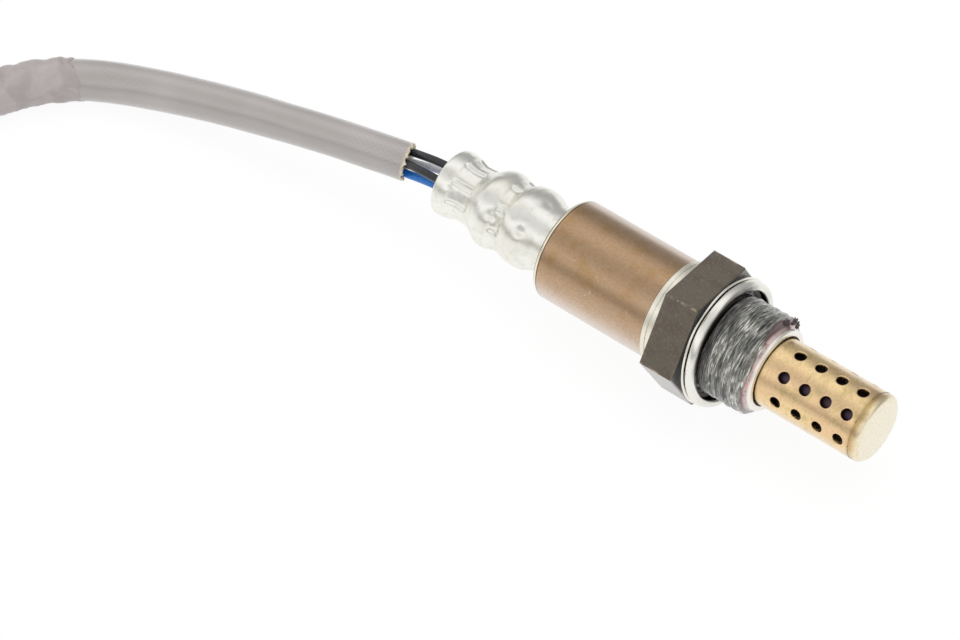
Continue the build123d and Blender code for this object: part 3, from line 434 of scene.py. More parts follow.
def gasket_grid():
    """Closed outline of the folded gasket, turned round the axis: a flat flange, a crease and a
    rolled bead that is open to the inside, pressed in at three tabs. The ring sits a little askew
    on the thread, and its bead is rolled less tight on one side. Its second output is painted
    shade: 1 on the inner side of the bead and in the crease."""
    line_x, line_r = GASKET_OUTLINE[:, :1], GASKET_OUTLINE[:, 1:]
    angle = ring_angles(256)[None, :]
    x, radius = line_x + 0 * angle, line_r + 0 * angle
    inner = ease((10.4 - line_r) / 0.5) * ease((line_x + 1.7) / 0.3)
    for centre in TAB_ANGLES:
        pressed = bell(turn_gap(angle, centre), TAB_WIDTH_ANGLE) * inner
        radius = radius - TAB_DEPTH * pressed
        x = x - TAB_SET_BACK * pressed
    wobble = 0.03 * ripple(0.0, angle, 21, waves=10, lobes=9)
    x = x + wobble * ease(line_r - 10.0) * ease((line_x - BEAD_BACK_X) / 0.2)
    slack = ease((50 - np.abs(turn_gap(angle, SLACK_ANGLE))) / 40)
    x = x + BEAD_SLACK * slack * (x - BEAD_BACK_X) * (x > BEAD_BACK_X)
    lean = smooth_through(GASKET_LEAN, turn_gap(angle, 0, -90))
    # painted shade on the bead: its front towards the thread, strongest within 42 degrees of angle 24, then
    # its inner side and the crease
    bare = 1 - 0.8 * ease((np.abs(turn_gap(angle, 24)) - 42) / 30)
    order = np.arange(len(GASKET_OUTLINE))[:, None]
    bead_shade = ease((line_x + 1.5) / 0.95) * ease((order - CROWN_POINT) / 2.0) * bare
    bead_shade = np.where((order > LIP_POINT) | np.isin(order, CREASE_POINTS), 1.0, bead_shade)
    return wrap(x + lean, radius + 0.6 * wobble, angle), bead_shade


# ==== protector cups ==========================================================================

def hole_cell(radius, hole_r):
    """One hole's square cell as rings: offsets along x, angle offsets and wall radii. Each ring
    lies between the hole's circle, at weight 0, and the square, at weight 1, and the rings run
    from the inner wall over a rolled hole edge to the outer wall."""
    side = np.linspace(-1, 1, CELL_SIDE_STEPS + 1)[:-1]
    edge = np.ones(CELL_SIDE_STEPS)
    sides = ((side, -edge), (edge, side), (-side, edge), (-edge, -side))
    square = np.concatenate([np.stack(run, -1) for run in sides])
    square = square * (HOLE_PITCH / 2, pi / HOLE_COLUMNS)
    inner = radius - CUP_WALL
    # weight, radius of the wall, and how far the hole is opened out
    weight, wall_r, opened = np.array([
        (1.0, inner, 0), (0.6, inner, 0), (0.25, inner, 0), (0.08, inner, 0), (0, inner, 0.02),
        (0, inner + 0.06, 0), (0, radius - 0.14, 0), (0, radius - 0.05, 0.03), (0.02, radius + 0.004, 0.08),
        (0.05, radius + 0.015, 0.1), (0.12, radius + 0.01, 0.06), (0.25, radius, 0), (0.45, radius, 0),
        (0.7, radius, 0), (1.0, radius, 0),
    ]).T[..., None]
    way = np.arctan2(square[:, 1] * radius, square[:, 0])
    off_x = (1 - weight) * (hole_r + opened) * np.cos(way) + weight * square[:, 0]
    off_a = (1 - weight) * (hole_r + opened) * np.sin(way) / radius + weight * square[:, 1]
    return off_x, off_a, wall_r


def cup_mesh(name, radius, flange_x, tip_x, flat_r, dome, hole_r, rows, last_row_x, first_angle):
    """Perforated cup: a cell for each hole, repeated along x and round the axis, and turned
    outlines that close the flange, the crimped and rounded tip and the inside of the end."""
    inner = radius - CUP_WALL
    off_x, off_a, wall_r = hole_cell(radius, hole_r)
    row, column = np.divmod(np.arange(rows * HOLE_COLUMNS), HOLE_COLUMNS)
    row, column = row[:, None, None], column[:, None, None]
    cell_a = radians(first_angle) + column * 2 * pi / HOLE_COLUMNS
    cells = wrap(last_row_x - row * HOLE_PITCH + off_x, wall_r, cell_a + off_a)
    back_x, front_x = last_row_x - (rows - 0.5) * HOLE_PITCH, last_row_x + HOLE_PITCH / 2
    corner = radius - flat_r
    bend_x = tip_x - corner
    end_x = tip_x - CUP_WALL
    bend = [(bend_x + corner * sin(b), flat_r + corner * cos(b)) for b in np.linspace(0, pi / 2, 9)]
    flat = [(tip_x + dome * (1 - share ** 2), flat_r * share) for share in (0.7, 0.4, 0.0)]
    outlines = (
        [(back_x, inner), (flange_x + 0.5, inner), (flange_x, inner + 0.2), (flange_x, CUP_FLANGE_R),
         (flange_x + CUP_WALL, CUP_FLANGE_R), (flange_x + CUP_WALL, radius), (back_x, radius)],
        [(front_x, radius), (bend_x - 0.75, radius), (bend_x - 0.55, radius - 0.05),
         (bend_x - 0.4, radius - 0.045), (bend_x - 0.2, radius + 0.005)] + bend + flat,
        [(front_x, inner), (end_x - 0.6, inner), (end_x - 0.2, inner - 0.15), (end_x, inner - 0.6),
         (end_x, 0.0)],
    )
    angle = ring_angles(HOLE_COLUMNS * CELL_SIDE_STEPS, first_angle - 180 / HOLE_COLUMNS)
    turned = [wrap(line[:, :1], line[:, 1:], angle) for line in map(np.array, outlines)]
    points, quads, base = [], [], 0
    for grid in [*cells, *turned]:
        points.append(grid.reshape(-1, 3))
        quads.append(grid_quads(*grid.shape[:2]) + base)
        base += len(points[-1])
    return mesh_piece(name, np.concatenate(points), np.concatenate(quads), sharp=50)


# ==== rear tube ===============================================================================

def tube_radius(x, angle):
    """Turned waves of the rear tube, less the flats of eight jaws at its two squeezed waists, with
    a raised ridge and a groove left between the jaws, and a few round dents, each a bell."""
    radius = smooth_through(TUBE_KNOTS, x) + 0 * angle
    jaw = (angle + radians(JAW_TURN)) % (pi / 4) - pi / 8
    flat = cos(pi / 8) / np.cos(jaw)
    from_corner = np.abs(jaw) - pi / 8
    for centre, reach, bite in WAISTS:
        squeezed = ease((reach + 0.5 - np.abs(x - centre)) / 0.7)
        radius = radius * (1 - bite * squeezed * (1 - flat))
        radius = radius + RIDGE_HEIGHT * squeezed * bell(from_corner, 0.055)
        radius = radius - GROOVE_DEPTH * squeezed * bell(from_corner + 0.12, 0.06)
    for centre_x, centre_a, size, depth in DENTS:
        away = np.hypot(x - centre_x, np.radians(turn_gap(angle, centre_a)) * DENT_MEAN_R)
        radius = radius - depth * bell(away, size)
    return radius + TUBE_UNEVEN * ripple(x, angle, 31, waves=20, reach=(1.2, 4.0), lobes=9)


def tube_grid():
    """Closed wall of the rear tube: hidden flange, waves, rounded lip and the inner side."""
    angle = ring_angles(256)
    flange = ((TUBE_FRONT, 5.2), (TUBE_FRONT + 1.1, 5.2), (TUBE_FRONT + 1.1, 8.0), (TUBE_FRONT + 0.05, 8.0),
              (TUBE_FRONT + 0.05, 6.0))
    rows = [wrap(x, r, angle) for x, r in flange]
    places = np.arange(TUBE_FRONT - 0.1, TUBE_REAR, -TUBE_STEP)
    rows += [wrap(x, tube_radius(x, angle), angle) for x in places]
    rows += [wrap(x, r, angle) for x, r in TUBE_LIP + TUBE_INSIDE]
    return np.array(rows)


# ==== cord and tape ===========================================================================

def coil_points():
    """Control points of the flat coil, clockwise from above: the radius shrinks by one cord width
    a turn. A spline cuts inside its control points, so they lie a little further out."""
    outset = 1 / (0.75 + 0.25 * cos(2 * pi / POINTS_A_TURN))
    points = []
    for i in range(round(COIL_TURNS * POINTS_A_TURN) + 1):
        turn = i / POINTS_A_TURN
        angle = radians(COIL_START_ANGLE - 360 * turn)
        radius = (COIL_START_R - COIL_PITCH * turn) * outset
        points.append((COIL_CENTRE[0] + radius * cos(angle), COIL_CENTRE[1] + radius * sin(angle), COIL_Z))
    return points


def route_curve():
    """The cord's centre line: one open spline through the route and the coil."""
    line = bpy.data.curves.new("cord_route", "CURVE")
    line.dimensions = "3D"
    line.resolution_u = 24
    spline = line.splines.new("NURBS")
    control = CORD_POINTS + coil_points()
    spline.points.add(len(control) - 1)
    spline.points.foreach_set("co", np.array([(*p, 1.0) for p in control]).ravel())
    spline.order_u = 3
    spline.use_endpoint_u = True
    return line


def read_line(line, step):
    """Points every step along a curve with no bevel, read from its own mesh, and their distances
    from its start."""
    holder = add_object("route_holder", line)
    bpy.context.view_layer.update()
    mesh = bpy.data.meshes.new_from_object(holder)
    points = np.empty(len(mesh.vertices) * 3)
    mesh.vertices.foreach_get("co", points)
    points = points.reshape(-1, 3)
    bpy.data.objects.remove(holder)
    bpy.data.meshes.remove(mesh)
    run = np.concatenate([[0], np.cumsum(np.linalg.norm(np.diff(points, axis=0), axis=1))])
    reach = np.linspace(0, run[-1], int(run[-1] / step) + 1)
    return np.stack([np.interp(reach, run, points[:, k]) for k in range(3)], -1), reach


def line_frames(points):
    """Tangent, level side and lift at each point of a line that never runs straight up."""
    tangent = np.gradient(points, axis=0)
    tangent /= np.linalg.norm(tangent, axis=1, keepdims=True)
    side = np.cross(tangent, (0.0, 0.0, 1.0))
    side /= np.linalg.norm(side, axis=1, keepdims=True)
    return tangent, side, np.cross(side, tangent)


def tube_rows(points, radius, angle, shift):
    """Rings of a tube: centre, plus radius times the cosine of the angle along the lift and the
    sine along the side, plus a shift along the tangent."""
    tangent, side, lift = (axis[:, None] for axis in line_frames(points))
    spoke = np.cos(angle)[None, :, None] * lift + np.sin(angle)[None, :, None] * side
    return points[:, None] + radius[..., None] * MM * spoke + shift[..., None] * MM * tangent


def cord_mesh(points, reach):
    """Braided sleeve as one closed tube: the outer side, the ragged slanted cut at its mouth, the
    inner side of the mouth and its floor, and a closed far end. cut_edge is 1 where it frays."""
    count = 64
    angle = ring_angles(count)
    mm = reach / MM
    uneven = CORD_UNEVEN * ripple(mm[:, None], angle[None, :], 41, waves=18, reach=(6, 25), lobes=3)
    outer = smooth_through(CORD_SWELL, mm)[:, None] + uneven
    tangent, side, lift = (axis[0] for axis in line_frames(points[:3]))
    spoke = np.cos(angle)[:, None] * lift + np.sin(angle)[:, None] * side
    across = MOUTH_LONG_SIDE - tangent * np.dot(MOUTH_LONG_SIDE, tangent)
    across /= np.linalg.norm(across)
    # the tube runs away from the mouth, so its long side is cut back less
    edge = -MOUTH_R * tan(radians(MOUTH_TILT)) * (spoke @ across) + MOUTH_SET_BACK
    ragged = 0.16 * np.sin(17 * angle + 0.6) + 0.12 * np.sin(11 * angle + 2.0) + 0.08 * np.sin(29 * angle)
    shift = edge * ease(1 - mm / 3.0)[:, None] + ragged * ease(1 - mm / 0.8)[:, None]
    rows = tube_rows(points, outer, angle, shift)
    scallop = 0.14 * np.sin(17 * angle + 0.6) + 0.1 * np.sin(23 * angle)
    notch = np.sin(13 * angle)
    # radius and depth of the rings from the floor of the mouth to the frayed edge
    mouth = [
        (0.001, MOUTH_DEPTH), (MOUTH_BORE_R, MOUTH_DEPTH), (MOUTH_BORE_R, edge + 1.2),
        (MOUTH_BORE_R + 0.02 + 0.05 * notch, edge + 0.25), (2.85 + 0.07 * notch, edge + ragged + 0.02),
        (3.1 + 0.5 * scallop, edge + ragged - 0.1), (3.28 + 0.25 * scallop, edge + ragged - 0.07),
    ]
    head = []
    for radius, depth in mouth:
        radius, depth = radius * MM + 0 * angle, depth * MM + 0 * angle
        head.append(points[0] + radius[:, None] * spoke + depth[:, None] * tangent)
    tail = [points[-1] + (rows[-1] - points[-1]) * share for share in (0.12, 0.0005)]
    grid = np.concatenate([head, rows, tail])
    lay = np.concatenate([[-6.0, -5.9, -1.2, -0.3, -0.1, -0.05, -0.02], mm, mm[-1] + np.array([0.5, 3.0])])
    frayed = np.concatenate([[0.3, 0.5, 0.8, 1, 1, 1, 0.9], ease(1 - mm / 0.42), [0, 0]])
    return skin("cord_sleeve", grid, lay=lay, marks={"cut_edge": np.repeat(frayed, count)}, sharp=60)


def tape_mesh(points, reach):
    """Tape wound over the cord: the layers step up away from its edge, with soft lumps and slack
    wrinkles that lean with the winding, and thin turned-in ends."""
    mm = reach / MM
    keep = (mm >= TAPE_START) & (mm <= TAPE_END)
    span, along = points[keep], mm[keep][:, None]
    angle = ring_angles(96)[None, :]
    base = smooth_through(CORD_SWELL, along)
    wound = along + 1.6 * np.sin(angle + 0.8) - TAPE_START
    step = TAPE_WALL * ease((wound - TAPE_FIRST_STEP) / 0.35) + 0.14 * ease((wound - TAPE_SECOND_STEP) / 0.5)
    lumps = TAPE_LUMPS * ripple(along, angle, 57, waves=22, reach=(2.2, 6.5), lobes=6)
    leaning = along + 1.2 * np.sin(angle)
    creases = TAPE_CREASES * ripple(leaning, angle, 52, waves=26, reach=(0.9, 2.4), lobes=7)
    settle = ease((along - TAPE_START) / 1.2) * ease(TAPE_END - along)
    outer = np.maximum(base + 0.1 + (step + lumps + creases + 0.06) * settle, base + 0.05)
    edge = 0.4 * np.sin(3 * angle + 1.0) + 0.2 * np.sin(8 * angle)
    slant = (0.9 * np.sin(angle + 0.8) + edge) * ease(1 - (along - TAPE_START) / 4.0)
    rows = tube_rows(span, outer, angle[0], slant)
    inner = tube_rows(span, base + 0 * angle - TAPE_WALL_UNDER, angle[0], slant)
    lay = np.concatenate([along[:, 0], along[::-1, 0] + 40])
    return skin("tape_winding", np.concatenate([rows, inner[::-1]]), closed_rows=True, lay=lay, sharp=70)


# ==== shaders =================================================================================

def tone(red, green, blue):
    """Colour written as screen values from 0 to 255."""
    def linear(value):
        value /= 255
        return value / 12.92 if value <= 0.04045 else ((value + 0.055) / 1.055) ** 2.4
    return (linear(red), linear(green), linear(blue), 1.0)


class Recipe:
    """Short ways to add nodes to one shader tree. A value is a number, a colour or the output of
    another node."""

    def __init__(self, tree):
        self.tree = tree

    def give(self, socket, value):
        """Links a node's output to a socket, or sets the socket's own value."""
        if isinstance(value, bpy.types.NodeSocket):
            self.tree.links.new(value, socket)
        else:
            socket.default_value = value

    def node(self, kind, inputs=None, **settings):
        """One node: settings are its own properties, and inputs maps a socket's name or number to
        its value."""
        made = self.tree.nodes.new(kind)
        for name, value in settings.items():
            setattr(made, name, value)
        for name, value in (inputs or {}).items():
            self.give(made.inputs[name], value)
        return made

    def maths(self, operation, *values):
        """Output of one Math node."""
        return self.node("ShaderNodeMath", dict(enumerate(values)), operation=operation).outputs[0]

    def times(self, first, second):
        """First times second."""
        return self.maths("MULTIPLY", first, second)

    def scale(self, value, factor, plus):
        """Value times factor, plus another value."""
        return self.maths("MULTIPLY_ADD", value, factor, plus)

    def split(self, vector):
        """The X, Y and Z of a vector."""
        return self.node("ShaderNodeSeparateXYZ", {0: vector}).outputs

    def mix(self, factor, first, second):
        """Colour between the first, at 0, and the second, at 1."""
        return self.node("ShaderNodeMix", {0: factor, 6: first, 7: second}, data_type="RGBA").outputs[2]

    def spread(self, value, low, high, to_low=0.0, to_high=1.0):
        """Value mapped from low..high to to_low..to_high, clamped, with a smooth step."""
        ends = {"Value": value, "From Min": low, "From Max": high, "To Min": to_low, "To Max": to_high}
        return self.node("ShaderNodeMapRange", ends, interpolation_type="SMOOTHSTEP").outputs["Result"]

    def between(self, place, low, high, to_low=0.0, to_high=1.0):
        """spread for a coordinate, with low and high in millimetres."""
        return self.spread(place, low * MM, high * MM, to_low, to_high)

    def noise(self, place, scale, detail=3.0, rough=0.55, stretch=None, warp=0.0):
        """Noise value at a place, stretched by a scale for each axis."""
        if stretch is not None:
            place = self.node("ShaderNodeMapping", {"Vector": place, "Scale": stretch}).outputs[0]
        settings = {"Vector": place, "Scale": scale, "Detail": detail, "Roughness": rough, "Distortion": warp}
        return self.node("ShaderNodeTexNoise", settings).outputs["Fac"]

    def group(self, shared, **inputs):
        """A shared effect placed here with its own values; underscores stand for spaces."""
        named = {name.replace("_", " "): value for name, value in inputs.items()}
        return self.node("ShaderNodeGroup", named, node_tree=shared).outputs


def effect(name, inputs, outputs):
    """Empty shader group with named sockets: its recipe, its inputs and its outputs."""
    tree = bpy.data.node_groups.new(name, "ShaderNodeTree")
    kinds = {"value": "NodeSocketFloat", "colour": "NodeSocketColor", "vector": "NodeSocketVector"}
    for side, sockets in (("INPUT", inputs), ("OUTPUT", outputs)):
        for label, kind in sockets.items():
            tree.interface.new_socket(name=label, in_out=side, socket_type=kinds[kind])
    return Recipe(tree), tree.nodes.new("NodeGroupInput").outputs, tree.nodes.new("NodeGroupOutput").inputs


def make_wear():
    """Fine wear of bare metal: grain, light specks, hairline scratches and soft clouds."""
    recipe, given, out = effect(
        "metal_wear", {"Place": "vector", "Speck Size": "value", "Speck Share": "value"},
        {"Grain": "value", "Specks": "value", "Scratches": "value", "Clouds": "value"})
    place = given["Place"]
    recipe.give(out["Grain"], recipe.noise(place, 2600.0, 4.0, 0.7))
    dots = recipe.noise(place, given["Speck Size"], 2.0, 0.6)
    edge = recipe.maths("SUBTRACT", 1.0, given["Speck Share"])
    recipe.give(out["Specks"], recipe.spread(dots, edge, recipe.maths("ADD", edge, 0.05)))
    hair = recipe.noise(place, 900.0, 3.0, 0.6, stretch=(3.0, 0.35, 0.35), warp=0.4)
    recipe.give(out["Scratches"], recipe.spread(hair, 0.62, 0.7))
    recipe.give(out["Clouds"], recipe.noise(place, 160.0, warp=0.5))
    return recipe.tree


def make_tint():
    """Heat tint of steel: three oxide colours blended by two soft noises."""
    inputs = {"Place": "vector", "Base": "colour", "Warm": "colour", "Cool": "colour", "Patch Size": "value",
              "Strength": "value"}
    recipe, given, out = effect("heat_tint", inputs, {"Colour": "colour"})
    broad = recipe.noise(given["Place"], given["Patch Size"], 2.0, 0.5, stretch=(0.55, 1.0, 1.0), warp=0.3)
    fine = recipe.noise(given["Place"], recipe.times(given["Patch Size"], 4.3), 4.0, 0.6)
    warm = recipe.times(recipe.spread(broad, 0.45, 0.65), given["Strength"])
    cool = recipe.times(recipe.spread(fine, 0.48, 0.7), given["Strength"])
    warmed = recipe.mix(warm, given["Base"], given["Warm"])
    recipe.give(out["Colour"], recipe.mix(cool, warmed, given["Cool"]))
    return recipe.tree


def make_braid():
    """Braid under a smooth coating: two crossing sets of strands in the cord's own lay, which is
    (share of a turn, millimetres along). The height is the product of the sizes of two sines."""
    recipe, given, out = effect("coated_braid", {"Lay": "vector", "Strands": "value", "Pitch": "value"},
                                {"Height": "value", "Gaps": "value"})
    lay = recipe.split(given["Lay"])
    turn = recipe.times(lay["X"], given["Strands"])
    run = recipe.maths("DIVIDE", lay["Y"], given["Pitch"])
    strands = []
    for way in ("ADD", "SUBTRACT"):
        wave = recipe.maths("SINE", recipe.times(recipe.maths(way, turn, run), 2 * pi))
        strands.append(recipe.maths("ABSOLUTE", wave))
    height = recipe.times(*strands)
    recipe.give(out["Height"], height)
    recipe.give(out["Gaps"], recipe.spread(height, 0.0, 0.35, 1.0, 0.0))
    return recipe.tree


WEAR = make_wear()
TINT = make_tint()
BRAID = make_braid()


class Finish(Recipe):
    """A new material, with its Principled shader and its Object coordinates. settings are the
    shader's own constants, with underscores for spaces."""

    def __init__(self, name, **settings):
        self.made = bpy.data.materials.new(name)
        self.made.use_nodes = True
        super().__init__(self.made.node_tree)
        self.sockets = self.tree.nodes["Principled BSDF"].inputs
        for label, value in settings.items():
            self.sockets[label.replace("_", " ")].default_value = value
        self.place = self.node("ShaderNodeTexCoord").outputs["Object"]

    def wear(self, speck_size, speck_share=0.3):
        """Outputs of the metal wear on this material."""
        return self.group(WEAR, Place=self.place, Speck_Size=speck_size, Speck_Share=speck_share)

    def tint(self, base, warm, cool, patch_size, strength):
        """Colour of the heat tint on this material."""
        return self.group(TINT, Place=self.place, Base=base, Warm=warm, Cool=cool, Patch_Size=patch_size,
                          Strength=strength)["Colour"]

    def mark(self, name):
        """Value of one of the mesh's own point attributes."""
        return self.node("ShaderNodeAttribute", attribute_name=name).outputs["Fac"]

    def edge_gloss(self, start, full, low=0.0):
        """Lets the clear coat grow from low to 1 where the surface is seen at a slant, as oxide
        films and polished edges do."""
        facing = self.node("ShaderNodeLayerWeight", {"Blend": 0.5}).outputs["Facing"]
        self.give(self.sockets["Coat Weight"], self.spread(facing, start, full, low))

    def feed(self, colour, rough, height, lift, strength):
        """Puts a colour, a roughness and a height, through a Bump node whose distance is lift in
        millimetres, into the shader. Returns the material."""
        bump = self.node("ShaderNodeBump", {"Height": height, "Strength": strength, "Distance": lift * MM})
        self.give(self.sockets["Base Color"], colour)
        self.give(self.sockets["Roughness"], rough)
        self.give(self.sockets["Normal"], bump.outputs["Normal"])
        return self.made


# ==== finishes ================================================================================

def nose_colour(look, along, out):
    """Bare nose of the shell: painted shade on the step, slightly pink neck, bright lip and painted shade in
    the bore.
    """
    neck = look.tint(tone(212, 188, 184), tone(224, 172, 170), tone(160, 132, 130), 210.0, 0.9)
    # painted shade on the step down from the thread into the hollow neck
    neck = look.mix(look.between(along, 6.55, 7.05), tone(96, 74, 74), neck)
    lip = look.between(along, 7.3, 7.7)
    neck = look.mix(lip, neck, tone(246, 243, 234))
    # painted shade inside the bore
    return look.mix(look.between(out, 6.37, 6.41), tone(26, 20, 16), neck), lip


def hexagon_colour(look, wear, along, out):
    """Dull dark steel, worn pale on its corners, with painted shade, nearly black, in the crevice behind the
    gasket.
    """
    dull = look.tint(tone(112, 103, 90), tone(106, 94, 80), tone(126, 117, 104), 420.0, 0.9)
    dull = look.mix(look.times(wear["Specks"], 0.45), dull, tone(168, 156, 138))
    chips = look.spread(look.noise(look.place, 900.0, 4.0, 0.65), 0.46, 0.66)
    hex_corner_r = HEX_FLATS / 2 / cos(pi / 6)
    corner = look.times(look.between(out, hex_corner_r - 0.19, hex_corner_r - 0.02), chips)
    dull = look.mix(corner, dull, tone(190, 172, 148))
    # painted shade: the hexagon's front face, the washer face and the relief behind the gasket are painted
    # nearly black
    behind = look.between(along, HEX_FRONT - 0.06, HEX_FRONT)
    crevice_shade = look.times(behind, look.between(along, THREAD_START - 0.4, THREAD_START, 1.0, 0.0))
    return look.mix(crevice_shade, dull, tone(40, 33, 28))


def paste_colour(look, along):
    """Grey paste, streaked along the turns from nearly black to white and purplish in its first
    roots, and the streaks' own value. The whitest streaks are painted highlights."""
    strokes = look.noise(look.place, 600.0, 4.0, 0.65, stretch=(8.0, 0.6, 0.6), warp=0.45)
    hairs = look.noise(look.place, 1400.0, 3.0, 0.65, stretch=(7.0, 0.5, 0.5), warp=0.4)
    smears = look.noise(look.place, 170.0, 3.0, 0.5, stretch=(1.6, 0.9, 0.9), warp=0.6)
    streaks_and_glints = look.scale(hairs, 0.42, look.times(strokes, 0.58))
    streaks_and_glints = look.scale(look.maths("SUBTRACT", smears, 0.5), 0.22, streaks_and_glints)
    grey = look.node("ShaderNodeValToRGB", {"Fac": streaks_and_glints})
    stops = grey.color_ramp.elements
    # the near-white top stop paints highlights on the streaks
    for position, colour in ((0.39, tone(38, 38, 36)), (0.46, tone(90, 91, 87)), (0.51, tone(133, 133, 126)),
                             (0.555, tone(172, 171, 163)), (0.60, tone(252, 250, 243))):
        stops.new(position).color = colour
    stops.remove(stops[0])
    stops.remove(stops[-1])
    root = look.times(look.between(along, 0.4, THREAD_START), 0.7)
    return look.mix(root, grey.outputs["Color"], tone(74, 64, 66)), streaks_and_glints


def shell_finish():
    """The shell: its hexagon, its bare nose from inside the thread's end on, and over them the
    paste on the thread (the paste attribute), which is less metallic."""
    look = Finish("dull_shell_steel", Coat_Roughness=0.25, Coat_IOR=3.0, Sheen_Weight=0.6,
                  Sheen_Roughness=0.4)
    look.edge_gloss(0.3, 0.85, 0.1)
    wear = look.wear(2600.0, 0.33)
    place = look.split(look.place)
    along = place["X"]
    flat = look.node("ShaderNodeCombineXYZ", {1: place["Y"], 2: place["Z"]}).outputs[0]
    out = look.node("ShaderNodeVectorMath", {0: flat}, operation="LENGTH").outputs["Value"]
    bare, lip = nose_colour(look, along, out)
    nose = look.between(along, 4.0, 4.4)
    metal = look.mix(nose, hexagon_colour(look, wear, along, out), bare)
    pasted, streaks_and_glints = paste_colour(look, along)
    paste = look.mark("paste")
    rough = look.scale(look.times(nose, lip), -0.12, look.scale(wear["Clouds"], 0.16, 0.34))
    look.give(look.sockets["Metallic"], look.scale(paste, -0.5, 0.9))
    height = look.scale(look.times(streaks_and_glints, paste), 12.0, wear["Grain"])
    return look.feed(look.mix(paste, metal, pasted), rough, height, lift=0.02, strength=0.7)


def sleeve_finish():
    """Bronze heat tint of the body sleeve: mauve clouds, fine rubbed lines and pale specks, and a
    painted reflection of the table that makes it paler towards the bottom, painted shade in the
    joints at its ends, and at the rear one a painted highlight line on the rounded edge and
    painted shade where the tube goes in."""
    look = Finish("bronze_tinted_sleeve", Metallic=1.0, Coat_Roughness=0.25, Coat_IOR=4.0)
    look.edge_gloss(0.32, 0.82)
    wear = look.wear(900.0)
    colour = look.tint(tone(190, 159, 127), tone(202, 174, 162), tone(182, 147, 105), 60.0, 0.9)
    colour = look.mix(look.times(wear["Specks"], 0.4), colour, tone(224, 212, 198))
    place = look.split(look.place)
    along = place["X"]
    # painted reflection of the pale table: paler towards the bottom
    colour = look.mix(look.between(place["Z"], 4.6, -3.0, 0.0, 0.62), colour, tone(230, 209, 188))
    colour = look.mix(look.times(look.spread(wear["Grain"], 0.42, 0.62), 0.3), colour, tone(150, 120, 92))
    # painted shade in the joints at both ends of the sleeve
    joint_shade = look.maths("MAXIMUM", look.between(along, -13.08, -12.96), look.between(along, -34.62, -34.70))
    colour = look.mix(look.times(joint_shade, 0.8), colour, tone(66, 48, 34))
    # painted highlight: a cream line along the rounded rear edge
    colour = look.mix(look.between(along, -34.82, -34.88), colour, tone(250, 240, 214))
    # painted shade where the rear tube goes into the sleeve
    colour = look.mix(look.between(along, -35.24, -35.30), colour, tone(52, 40, 30))
    height = look.scale(wear["Specks"], 3.0, wear["Grain"])
    return look.feed(colour, look.scale(wear["Clouds"], 0.12, 0.27), height, lift=0.01, strength=0.5)


def protector_finish():
    """Straw heat tint of the protector with olive and pink patches, olive along its crease and
    pale on its end."""
    look = Finish("straw_tinted_cup", Metallic=1.0, Coat_Roughness=0.25, Coat_IOR=4.0)
    look.edge_gloss(0.38, 0.88)
    wear = look.wear(700.0)
    colour = look.tint(tone(250, 220, 168), tone(242, 206, 164), tone(216, 194, 140), 120.0, 0.85)
    wander = look.scale(look.maths("SUBTRACT", wear["Clouds"], 0.5), 1.4 * MM, look.split(look.place)["X"])
    crease = look.times(look.between(wander, 25.8, 26.6), look.between(wander, 26.6, 27.5, 1.0, 0.0))
    colour = look.mix(look.times(crease, 0.55), colour, tone(146, 124, 66))
    pale = look.between(wander, 27.0, 27.9)
    colour = look.mix(pale, colour, tone(246, 238, 212))
    rubbed = look.times(look.times(wear["Scratches"], 0.22), look.maths("SUBTRACT", 1.0, pale))
    colour = look.mix(rubbed, colour, tone(122, 104, 70))
    colour = look.mix(look.times(look.spread(wear["Grain"], 0.42, 0.62), 0.3), colour, tone(196, 166, 112))
    return look.feed(colour, look.scale(wear["Clouds"], 0.14, 0.24), wear["Grain"], lift=0.01, strength=0.6)


def gasket_finish():
    """Bright folded steel, darkened by painted shade towards the thread, from a point attribute."""
    look = Finish("bright_gasket_steel", Metallic=1.0, Coat_Weight=0.3, Coat_Roughness=0.2)
    wear = look.wear(800.0)
    # painted shade from the point attribute, made patchy by the clouds
    patchy = look.scale(look.maths("SUBTRACT", wear["Clouds"], 0.5), 0.5, look.mark("bead_shade"))
    dark = look.spread(patchy, 0.05, 0.85)
    colour = look.mix(dark, tone(242, 240, 232), tone(44, 38, 34))
    colour = look.mix(look.times(wear["Specks"], 0.4), colour, tone(140, 137, 132))
    return look.feed(colour, look.scale(wear["Clouds"], 0.14, 0.2), wear["Grain"], lift=0.01, strength=0.5)


def plain_metal(name, base, warm, cool, rough, patch=90.0, tint=0.6):
    """Bare metal with a heat tint, scratches and uneven gloss."""
    look = Finish(name, Metallic=1.0)
    wear = look.wear(700.0)
    uneven = look.scale(wear["Scratches"], 0.1, look.scale(wear["Clouds"], 0.16, rough - 0.08))
    height = look.scale(wear["Scratches"], -0.6, wear["Grain"])
    return look.feed(look.tint(base, warm, cool, patch, tint), uneven, height, lift=0.01, strength=0.5)


def plastic(name, base, other, rough, patch=260.0, coat=0.0):
    """Moulded plastic, rubber or insulation: faint mottling in colour and gloss, and a fine grain."""
    look = Finish(name, Coat_Weight=coat, Coat_Roughness=0.2)
    mottle = look.noise(look.place, patch)
    grain = look.noise(look.place, 3000.0, 3.0, 0.6)
    colour = look.mix(look.spread(mottle, 0.35, 0.68), base, other)
    return look.feed(colour, look.scale(mottle, 0.12, rough - 0.06), grain, lift=0.02, strength=0.4)


